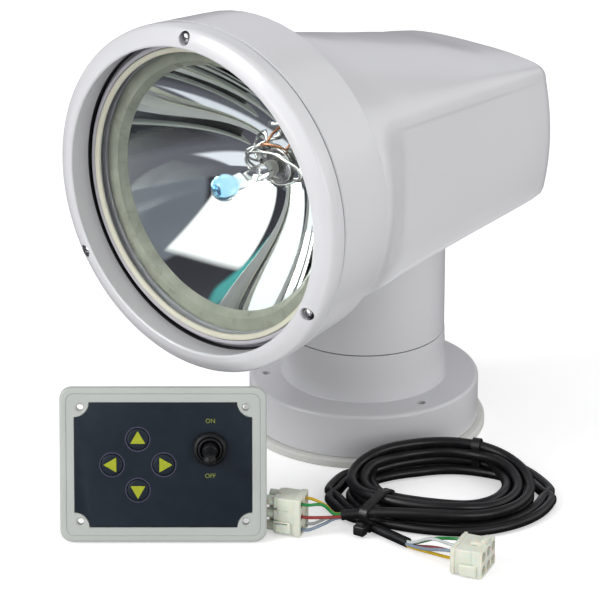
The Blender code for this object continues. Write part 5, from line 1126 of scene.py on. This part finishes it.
def make_base():
    places = around(HOLE_CIRCLE, 3, HOLE_TURN)
    holes = [rod(HOLE_RADIUS, 0.0, 0.0300, place) for place in places]
    flange = carved(turned(soft(FLANGE_PROFILE, 7)), holes)
    piece("flange", flange, FLANGE_WHITE, "base", replaces=("base_flange",))
    # The dark grey sleeves under the mount holes are painted shade: they darken the insides of the holes
    for number, place in enumerate(places, 1):
        sleeve = moved(turned(soft(SLEEVE_PROFILE, 2), SMALL), *place, 0.0)
        piece(f"mount_sleeve_painted_shade_{number}", sleeve, GREY_PLASTIC, "base")
    holes = [rod(GASKET_HOLE, -0.001, 0.0060, place) for place in places]
    gasket = carved(turned(soft(GASKET_PROFILE, 5)), holes)
    piece("foot_gasket", gasket, FOOT_RUBBER, "base", replaces=("base_gasket",))
    piece("turret_tube", turned(soft(TURRET_PROFILE)), WHITE, "turret", replaces=("turret_shell",))


# Control panel, lying on its back: X across, Y up along it, Z out of its face
PANEL_WIDTH, PANEL_HEIGHT, PANEL_THICKNESS = 0.0975, 0.0741, 0.0044
PANEL_MIDDLE = (0.0, PANEL_HEIGHT / 2.0)
PANEL_CORNER = 0.0057
PANEL_SCREW_INSET = 0.0097
SINK_PROFILE = ((0.0, 0.0012), (0.0035, 0.0012), (0.0014, -0.0009), (0.0, -0.0009))
# Groove round the face: how much smaller than the panel its edges are, and their corners
GROOVE_OUTER, GROOVE_INNER = (0.0056, 0.0040), (0.0064, 0.0036)
OVERLAY_WIDTH, OVERLAY_HEIGHT, OVERLAY_NOTCH = 0.0836, 0.0597, 0.0071
OVERLAY_TOP = 0.0046
OVERLAY_ROOM = 0.00025
BUTTON_CENTRE, BUTTON_PITCH, BUTTON_RADIUS = (-0.0119, 0.0372), 0.0122, 0.0050
BUTTON_PROFILE = (
    (0.0, 0.0052, 0.0), (0.0038, 0.0052, 0.0012), (0.00505, 0.0049, 0.0004), (0.00505, -0.0003, 0.0),
    (0.0062, -0.0003, 0.0002), (0.0062, -0.0015, 0.0002), (0.0020, -0.0015, 0.0), (0.0020, -0.0045, 0.0002),
    (0.0, -0.0045, 0.0),
)
ARROW_RADIUS, ARROW_ROUNDING, ARROW_HEIGHTS = 0.0041, 0.0004, (0.00512, 0.0053)
RIM_RADII = (0.0055, 0.0060)
PRINT = 0.00008
LETTER_SIZE, LETTER_WEIGHT = 0.0029, 0.00004
LETTERS = (("print_on", "ON", (0.0223, 0.0581)), ("print_off", "OFF", (0.0222, 0.0318)))
# Toggle switch: its nut, the rim of its rubber boot and its handle
TOGGLE_CENTRE, TOGGLE_HOLE = (0.0222, 0.0449), 0.0061
TOGGLE_PIVOT, TOGGLE_LEAN = 0.0054, math.radians(13.0)
NUT_PROFILE = ((0.0061, 0.0081, 0.0003), (0.0070, 0.0081, 0.0008), (0.0080, 0.0070, 0.0008),
               (0.0081, 0.0049, 0.0002), (0.0061, 0.0049, 0.0002))
BOOT_PROFILE = ((0.0046, 0.0090, 0.0003), (0.0052, 0.0094, 0.0004), (0.0058, 0.0086, 0.0005),
                (0.0058, 0.0050, 0.0002), (0.0049, 0.0050, 0.0002), (0.0048, 0.0078, 0.0006))
HANDLE_TIP, HANDLE_END, HANDLE_BALL = 0.0031, 0.0160, 0.0043
HANDLE_PROFILE = ((0.0031, 0.0125, 0.0), (0.0025, 0.0085, 0.0015), (0.0030, 0.0062, 0.0010),
                  (0.0029, 0.0050, 0.0005), (0.0036, 0.0040, 0.0005), (0.0041, 0.0013, 0.0))


def arc(centre, radius, start, end, steps):
    angles = [math.radians(start + (end - start) * i / steps) for i in range(steps + 1)]
    return [(centre[0] + radius * math.cos(angle), centre[1] + radius * math.sin(angle)) for angle in angles]


def rounded_rectangle(width, height, corner, centre, steps=10):
    points = []
    for sx, sy, start in ((1, 1, 0.0), (-1, 1, 90.0), (-1, -1, 180.0), (1, -1, 270.0)):
        middle = (centre[0] + sx * (width / 2.0 - corner), centre[1] + sy * (height / 2.0 - corner))
        points += arc(middle, corner, start, start + 90.0, steps)
    return points


def overlay_outline(grow=0.0):
    """A rectangle whose corners are cut out by circles."""
    half = OVERLAY_WIDTH / 2.0 + grow
    low = (PANEL_HEIGHT - OVERLAY_HEIGHT) / 2.0 - grow
    high = PANEL_HEIGHT - low
    points = []
    for x, y, start in ((half, high, 270.0), (-half, high, 0.0), (-half, low, 90.0), (half, low, 180.0)):
        points += arc((x, y), OVERLAY_NOTCH, start, start - 90.0, 12)
    return points


def button_places():
    """Middle of each button and the way that its arrow points."""
    x, y = BUTTON_CENTRE
    return {"button_up": (x, y + BUTTON_PITCH, 90.0), "button_left": (x - BUTTON_PITCH, y, 180.0),
            "button_right": (x + BUTTON_PITCH, y, 0.0), "button_down": (x, y - BUTTON_PITCH, 270.0)}


def letters(text, size, centre, height):
    """Flat printed letters as a mesh, centred on a place of the panel's face."""
    font = bpy.data.curves.new("letters", "FONT")
    font.body = text
    font.size = size
    font.extrude = PRINT / 2.0
    font.offset = LETTER_WEIGHT
    font.align_x = "CENTER"
    font.align_y = "CENTER"
    return moved(evaluated(shown("letters", font)), *centre, height)


def face_groove():
    """A thin closed ring that cuts a shallow groove round the panel's face."""
    outer, inner = [rounded_rectangle(PANEL_WIDTH - less, PANEL_HEIGHT - less, corner, PANEL_MIDDLE)
                    for less, corner in (GROOVE_OUTER, GROOVE_INNER)]
    shape = bmesh.new()
    levels = []
    for outline, height in ((outer, 0.0003), (outer, -0.0001), (inner, -0.0003), (inner, 0.0003)):
        levels.append([shape.verts.new((x, y, PANEL_THICKNESS + height)) for x, y in outline])
    for one, two in zip(levels, levels[1:] + levels[:1]):
        bridge(shape, one, two, len(one))
    return shape_mesh(shape)


def control_holes(button_room, low):
    """Cutters for the buttons' and the toggle's holes, from this height up."""
    high = 2.0 * PANEL_THICKNESS
    places = [place[:2] for place in button_places().values()]
    holes = [rod(BUTTON_RADIUS + button_room, low, high, place, MEDIUM) for place in places]
    return holes + [rod(TOGGLE_HOLE, low, high, TOGGLE_CENTRE, MEDIUM)]


def make_plate():
    face = PANEL_THICKNESS
    outline = rounded_rectangle(PANEL_WIDTH, PANEL_HEIGHT, PANEL_CORNER, PANEL_MIDDLE)
    cutters = [extruded(overlay_outline(OVERLAY_ROOM), face - 0.0006, 2.0 * face)]
    for sx in (-1, 1):
        for sy in (-1, 1):
            place = (sx * (PANEL_WIDTH / 2.0 - PANEL_SCREW_INSET),
                     PANEL_MIDDLE[1] + sy * (PANEL_MIDDLE[1] - PANEL_SCREW_INSET))
            cutters.append(rod(0.0016, -face, 2.0 * face, place))
            sink = [(radius, face + height) for radius, height in SINK_PROFILE]
            cutters.append(moved(turned(sink, SMALL, closed=False), *place, 0.0))
    cutters += [face_groove()] + control_holes(0.0004, -face)
    plate = carved(extruded(outline, 0.0, face, 0.0011, 4), cutters)
    piece("panel_frame", plate, PANEL_GREY, "base", PANEL, ("panel_plate",))
    label = extruded(overlay_outline(), OVERLAY_TOP - 0.0005, OVERLAY_TOP, 0.0001)
    piece("panel_label", carved(label, control_holes(0.0003, 0.0)), NAVY, "base", PANEL, ("panel_overlay",))


def make_button(name, x, y, turn):
    cap = moved(turned(soft(BUTTON_PROFILE, closed=False), MEDIUM, closed=False), x, y, 0.0)
    piece("cap_" + name, cap, NAVY, name, PANEL, (name,))
    tips = [(*tip, ARROW_ROUNDING) for tip in around(ARROW_RADIUS, 3, math.radians(turn))]
    piece("arrow_" + name, moved(extruded(soft(tips, 3), *ARROW_HEIGHTS), x, y, 0.0), LIME, name, PANEL)
    inner, outer = RIM_RADII
    rim = [(inner, OVERLAY_TOP + PRINT), (outer, OVERLAY_TOP + PRINT), (outer, OVERLAY_TOP - PRINT),
           (inner, OVERLAY_TOP - PRINT)]
    piece("rim_" + name, moved(turned(rim, MEDIUM), x, y, 0.0), RING_PRINT, "base", PANEL)


def make_toggle():
    nut = moved(turned(soft(NUT_PROFILE), DIAL), *TOGGLE_CENTRE, 0.0)
    piece("toggle_ring", nut, BLACK_RUBBER, "base", PANEL, ("toggle_nut",))
    boot = moved(turned(soft(BOOT_PROFILE), DIAL), *TOGGLE_CENTRE, 0.0)
    piece("toggle_rim", boot, BLACK_RUBBER, "base", PANEL)
    profile = dome(HANDLE_TIP, HANDLE_END, *range(0, 91, 15)) + soft(HANDLE_PROFILE, closed=False)
    profile += dome(HANDLE_BALL, HANDLE_BALL, 80, 95, 115, 135, 160, 180)
    pivot = Matrix.Translation((*TOGGLE_CENTRE, TOGGLE_PIVOT)) @ Matrix.Rotation(TOGGLE_LEAN, 4, "X")
    handle = turned(profile, MEDIUM, closed=False)
    piece("toggle_handle", handle, BLACK_RUBBER, "toggle_lever", PANEL @ pivot, ("toggle_lever",))


def make_panel():
    make_plate()
    for name, place in button_places().items():
        make_button(name, *place)
    for name, text, place in LETTERS:
        piece(name, letters(text, LETTER_SIZE, place, OVERLAY_TOP + PRINT / 2.0), DULL_LIME, "base", PANEL)
    make_toggle()


# Connectors: X along the wires with the mating face at +X, two columns across Y and three rows up Z
TALL, DEEP = 0.0195, 0.0140
LEFT_PLACE, LEFT_TURN, LEFT_LENGTH = (-0.0356, -0.1300, TALL / 2.0 + CLEAR), math.radians(-18.0), 0.0120
RIGHT_PLACE, RIGHT_TURN, RIGHT_LENGTH = (0.0482, -0.1703, DEEP / 2.0 + CLEAR), math.radians(-22.0), 0.0160
LEFT = SET @ Matrix.Translation(LEFT_PLACE) @ Matrix.Rotation(LEFT_TURN, 4, "Z")
RIGHT = (SET @ Matrix.Translation(RIGHT_PLACE) @ Matrix.Rotation(RIGHT_TURN, 4, "Z")
         @ Matrix.Rotation(math.pi / 2.0, 4, "X"))
RIGHT_END = RIGHT_LENGTH / 2.0
CELLS = [(column * DEEP / 4.0, row * TALL / 3.0) for row in (-1, 0, 1) for column in (-1, 1)]
# Blocks that are fused into each shell: size, middle, edge and steps of its rounding
LEFT_BLOCKS = (
    ((LEFT_LENGTH - 0.0016, DEEP - 0.0008, TALL - 0.0008), (-0.0008, 0.0, 0.0), 0.0007, 3),
    ((0.0032, DEEP, TALL), (0.0042, 0.0, 0.0), 0.0005, 2),
    ((0.0085, 0.0012, 0.0058), (-0.0030, -DEEP / 2.0 - 0.0003, -0.0052), 0.0004, 2),
    ((0.0020, 0.0022, 0.0050), (-0.0052, -DEEP / 2.0 - 0.0003, -0.0052), 0.0004, 2),
    ((0.0085, 0.0012, 0.0058), (-0.0030, DEEP / 2.0 + 0.0003, 0.0), 0.0004, 2),
)
RIGHT_BLOCKS = (
    ((RIGHT_LENGTH - 0.0010, DEEP - 0.0014, TALL - 0.0014), (-0.0005, 0.0, 0.0), 0.0007, 3),
    ((0.0050, DEEP, TALL), (RIGHT_END - 0.0025, 0.0, 0.0), 0.0006, 2),
    ((0.0018, DEEP - 0.0004, TALL - 0.0004), (-RIGHT_END + 0.0016, 0.0, 0.0), 0.0005, 2),
    ((0.0060, 0.0018, 0.0060), (RIGHT_END - 0.0052, DEEP / 2.0 + 0.0003, 0.0), 0.0005, 2),
    ((0.0022, 0.0030, 0.0066), (RIGHT_END - 0.0022, DEEP / 2.0 + 0.0008, -0.0010), 0.0005, 2),
    ((0.0085, 0.0058, 0.0016), (0.0012, -0.0034, TALL / 2.0 + 0.0002), 0.0006, 3),
)
CELL_BLOCK, CELL_START = (0.0030, 0.0058, 0.0056), -LEFT_LENGTH / 2.0 - 0.0004
# Grooves between the rows and along the top, and the core that they do not reach into
GROOVES = (
    ((0.0080, 2.0 * DEEP, 0.0007), (-0.0042, 0.0, -TALL / 6.0)),
    ((0.0080, 2.0 * DEEP, 0.0007), (-0.0042, 0.0, TALL / 6.0)),
    ((0.0076, 0.0007, 0.0012), (-0.0044, 0.0, TALL / 2.0 - 0.0004)),
)
GROOVE_CORE = (0.0400, DEEP - 0.0018, TALL - 0.0018)
# Radius, or inner and outer radius, and the ends along X
LEFT_ENTRY = (0.0019, 0.0030, 0.0090)
LEFT_SILO = (0.0017, 0.0024, -0.0121, -0.0070)
LEFT_PIN = (0.0011, -0.0110, -0.0066)
RIGHT_BORE = (0.0024, RIGHT_END - 0.0070, RIGHT_END + 0.0020)
RIGHT_ENTRY = (0.0017, -RIGHT_END - 0.0020, -RIGHT_END + 0.0030)
RIGHT_SOCKET = (0.0009, 0.0015, RIGHT_END - 0.0069, RIGHT_END - 0.0020)
# Wires as column, row and colour
WIRES_LEFT = ((1, 1, "yellow"), (-1, 1, "green"), (-1, 0, "red"), (-1, -1, "blue"), (1, -1, "white"))
WIRES_RIGHT = ((-1, -1, "red"), (1, -1, "green"), (1, 0, "white"), (-1, 0, "yellow"), (1, 1, "blue"))
WIRE_RADIUS = 0.00078
WIRE_CIRCLE = 0.00125
WIRE_ENTRY = 0.0015
WIRE_RUN = 0.0030
WIRE_SAG = 0.0011


def lying(mesh, place):
    """A shape that stands on the floor laid along X at a place (y, z) of a connector."""
    mesh.transform(Matrix.Translation((0.0, *place)) @ Matrix.Rotation(math.pi / 2.0, 4, "Y"))
    return mesh


def silo(inner, outer, start, end, place):
    corners = [(inner, start, 0.0002), (outer, start, 0.0003), (outer, end, 0.0003), (inner, end, 0.0002)]
    return lying(turned(soft(corners, 2), SMALL), place)


def peg(radius, start, end, place):
    return lying(rod(radius, start, end), place)


def make_left_connector():
    blocks = [block(*row) for row in LEFT_BLOCKS]
    blocks += [block(CELL_BLOCK, (CELL_START, *cell), 0.0009, 3) for cell in CELLS]
    cutters = [carved(block(*groove, 0.0), [block(GROOVE_CORE, edge=0.0)]) for groove in GROOVES]
    cutters += [peg(*LEFT_ENTRY, cell) for cell in CELLS]
    shell = carved(carved(blocks[0], blocks[1:], "UNION"), cutters)
    piece("plug_left", shell, NYLON, "base", LEFT, ("connector_left",))
    for number, cell in enumerate(CELLS, 1):
        piece(f"silo_left_{number}", silo(*LEFT_SILO, cell), NYLON, "base", LEFT)
        piece(f"pin_left_{number}", peg(*LEFT_PIN, cell), ZINC, "base", LEFT)


def make_right_connector():
    blocks = [block(*row) for row in RIGHT_BLOCKS]
    cutters = [peg(*cut, cell) for cell in CELLS for cut in (RIGHT_BORE, RIGHT_ENTRY)]
    shell = carved(carved(blocks[0], blocks[1:], "UNION"), cutters)
    piece("plug_right", shell, NYLON, "base", RIGHT, ("connector_right",))
    for number, cell in enumerate(CELLS, 1):
        piece(f"socket_right_{number}", silo(*RIGHT_SOCKET, cell), ZINC, "base", RIGHT)


def contacts(place, turn, length, rolled, used):
    """Ends of the wires just inside a connector, the way into it, and their colours.

    A negative length puts the wires on the far side. A rolled connector lies on its side.
    """
    ahead = Vector((math.cos(turn), math.sin(turn), 0.0))
    across = Vector((-ahead.y, ahead.x, 0.0))
    upward = Vector((0.0, 0.0, 1.0))
    if rolled:
        across, upward = upward, -across
    face = Vector(place) + ahead * (length / 2.0 - math.copysign(WIRE_ENTRY, length))
    way = ahead if length < 0.0 else -ahead
    return [(face + across * (column * DEEP / 4.0) + upward * (row * TALL / 3.0), way, colour)
            for column, row, colour in used]


def make_wires(side, node, start, heading, ends):
    """Coloured cores that leave the jacket together and spread to their contacts."""
    heading = heading.normalized()
    across = heading.cross(Vector((0.0, 0.0, 1.0))).normalized()
    above = across.cross(heading)
    middle = sum((entry[0] for entry in ends), Vector()) / len(ends)

    def bearing(entry):
        away = entry[0] - middle
        return math.atan2(away.dot(above), away.dot(across))

    ordered = sorted(ends, key=bearing)
    step = 2.0 * math.pi / len(ordered)
    first = sum(bearing(entry) - index * step for index, entry in enumerate(ordered)) / len(ordered)
    names = []
    for index, (end, way, colour) in enumerate(ordered):
        angle = first + index * step
        out = (across * math.cos(angle) + above * math.sin(angle)) * WIRE_CIRCLE
        root = start - heading * WIRE_RUN + out
        sag = Vector((0.0, 0.0, WIRE_SAG * math.sin(2.3 * index + 0.5)))
        between = (root + end) / 2.0 + sag + out * 0.8
        route = smooth_route((root, start + heading * WIRE_RUN + out, between, end - way * 0.0045, end), 24)
        names.append(f"core_{side}_{colour}")
        replaced = (node,) if index == 0 else ()
        piece(names[-1], tube(route, WIRE_RADIUS), CORE_SKINS[colour], "base", SET, replaced)
    return names


# Cable ties: the strap, then size, place off the strap, edge and steps of the head, its slot and the tail
STRAP_HALF, STRAP_THICK, STRAP_BEVEL = 0.0023, 0.0010, 0.0003
STRAP_STEPS = 72
STRAP_SHARP = 30.0
TIE_HEAD = ((0.0058, 0.0044, 0.0050), (0.0018, 0.0036), 0.0007, 3)
TIE_SLOT = ((0.0042, 0.0014, 0.0100), (0.0022, 0.0036), 0.0, 2)
TIE_TAIL = ((0.0038, 0.0010, 0.0052), (0.0022, 0.0050), 0.0002, 2)


def crossings(points, middle, ahead, out, reach):
    """Where the turns pass a plane across the bundle, as (outwards, height)."""
    centres = []
    for one, two in zip(points[:-1], points[1:]):
        a, b = Vector(one) - middle, Vector(two) - middle
        before, after = a.dot(ahead), b.dot(ahead)
        if before * after <= 0.0 and abs(before - after) > 1e-9:
            crossing = a.lerp(b, before / (before - after))
            if abs(crossing.dot(out)) < reach:
                centres.append((crossing.dot(out), crossing.z))
    return centres


def strap_mesh(centres, reach, place):
    """A strap drawn tight round all the turns, flat on the floor where it would go below it."""
    shape = bmesh.new()
    rings = []
    for angle in (2.0 * math.pi * i / STRAP_STEPS for i in range(STRAP_STEPS)):
        cosine, sine = math.cos(angle), math.sin(angle)
        x, z = max(centres, key=lambda centre: centre[0] * cosine + centre[1] * sine)
        inside = (x + reach * cosine, max(z + reach * sine, 0.0002))
        outside = (inside[0] + STRAP_THICK * cosine, max(inside[1] + STRAP_THICK * sine, 0.0001))
        bevelled = STRAP_HALF - STRAP_BEVEL
        corners = ((inside, -STRAP_HALF), (outside, -bevelled), (outside, bevelled), (inside, STRAP_HALF))
        rings.append([shape.verts.new(place @ Vector((away, *flat))) for flat, away in corners])
    for one, two in zip(rings, rings[1:] + rings[:1]):
        bridge(shape, one, two, len(one))
    return shape_mesh(shape, STRAP_SHARP)


def make_tie(name, node, along, points):
    """A strap round the turns, with its head outside and the end of its tail cut off."""
    section = coil_section(along)
    middle = Vector((*section[:2], 0.0))
    ahead = Vector(coil_point(along + 0.05, 0.0)) - Vector(coil_point(along - 0.05, 0.0))
    ahead = ahead.normalized().to_3d()
    out = Vector((ahead.y, -ahead.x, 0.0))
    centres = crossings(points, middle, ahead, out, section[2] + 0.0040)
    reach = CABLE_RADIUS + 0.0002
    across = Matrix.Translation(middle) @ Matrix((ahead, out, (0.0, 0.0, 1.0))).transposed().to_4x4()
    piece("strap_" + name, strap_mesh(centres, reach, across), TIE_BLACK, "base", SET, (node,))
    edge = max(centre[0] for centre in centres) + reach + STRAP_THICK

    def beyond(size, place, *rounding):
        return block(size, (0.0, edge + place[0], place[1]), *rounding)

    piece("head_" + name, carved(beyond(*TIE_HEAD), [beyond(*TIE_SLOT)]), TIE_BLACK, "base", SET @ across)
    piece("tail_" + name, beyond(*TIE_TAIL), TIE_BLACK, "base", SET @ across)
    return ["strap_" + name, "head_" + name, "tail_" + name]


# Finishes of the parts that keep the shape of the part's own solids
KEPT = (
    (WHITE, ("tilt_yoke",)),
    (GREY_PLASTIC, ("base_plate", "toggle_switch")),
    (BLACK_RUBBER, ("supply_gland", "pan_seal", "panel_gland")),
    (TIE_BLACK, ("panel_box",)),
    (BOARD, ("panel_board",)),
    (NYLON, ("pan_pinion", "pan_gear", "tilt_pinion", "tilt_sector")),
    (BRONZE, ("pan_bush", "tilt_bush_left", "tilt_bush_right")),
    (ZINC, ("pan_motor", "spindle_nut", "tilt_motor")),
    (STEEL, ("base_screw_1", "base_screw_2", "base_screw_3", "pan_spindle", "tilt_axle", "box_screw_1",
             "box_screw_2")),
)


def finish_kept():
    for used, names in KEPT:
        for name in names:
            data = nodes[name].data
            data.materials.clear()
            data.materials.append(used)


make_camera()
make_floor()
make_world()
for lamp in LAMPS:
    make_lamp(*lamp)
make_housing()
make_ring()
make_lens()
make_reflector()
make_bulb()
make_base()
make_panel()
make_left_connector()
make_right_connector()
finish_kept()
route = cable_route()
cable = make_cable(route)
left_ends = contacts(LEFT_PLACE, LEFT_TURN, LEFT_LENGTH, False, WIRES_LEFT)
right_ends = contacts(RIGHT_PLACE, RIGHT_TURN, -RIGHT_LENGTH, True, WIRES_RIGHT)
start, after_start, before_end, end = [Vector(route[index]) for index in (0, 2, -3, -1)]
with_cable = ["plug_left", "plug_right"]
with_cable += make_wires("left", "cable_wires_left", start, start - after_start, left_ends)
with_cable += make_wires("right", "cable_wires_right", end, end - before_end, right_ends)
with_cable += make_tie("front", "cable_tie_front", 8.6, route)
with_cable += make_tie("back", "cable_tie_back", 2.0, route)

bpy.context.scene.view_settings.view_transform = "Standard"
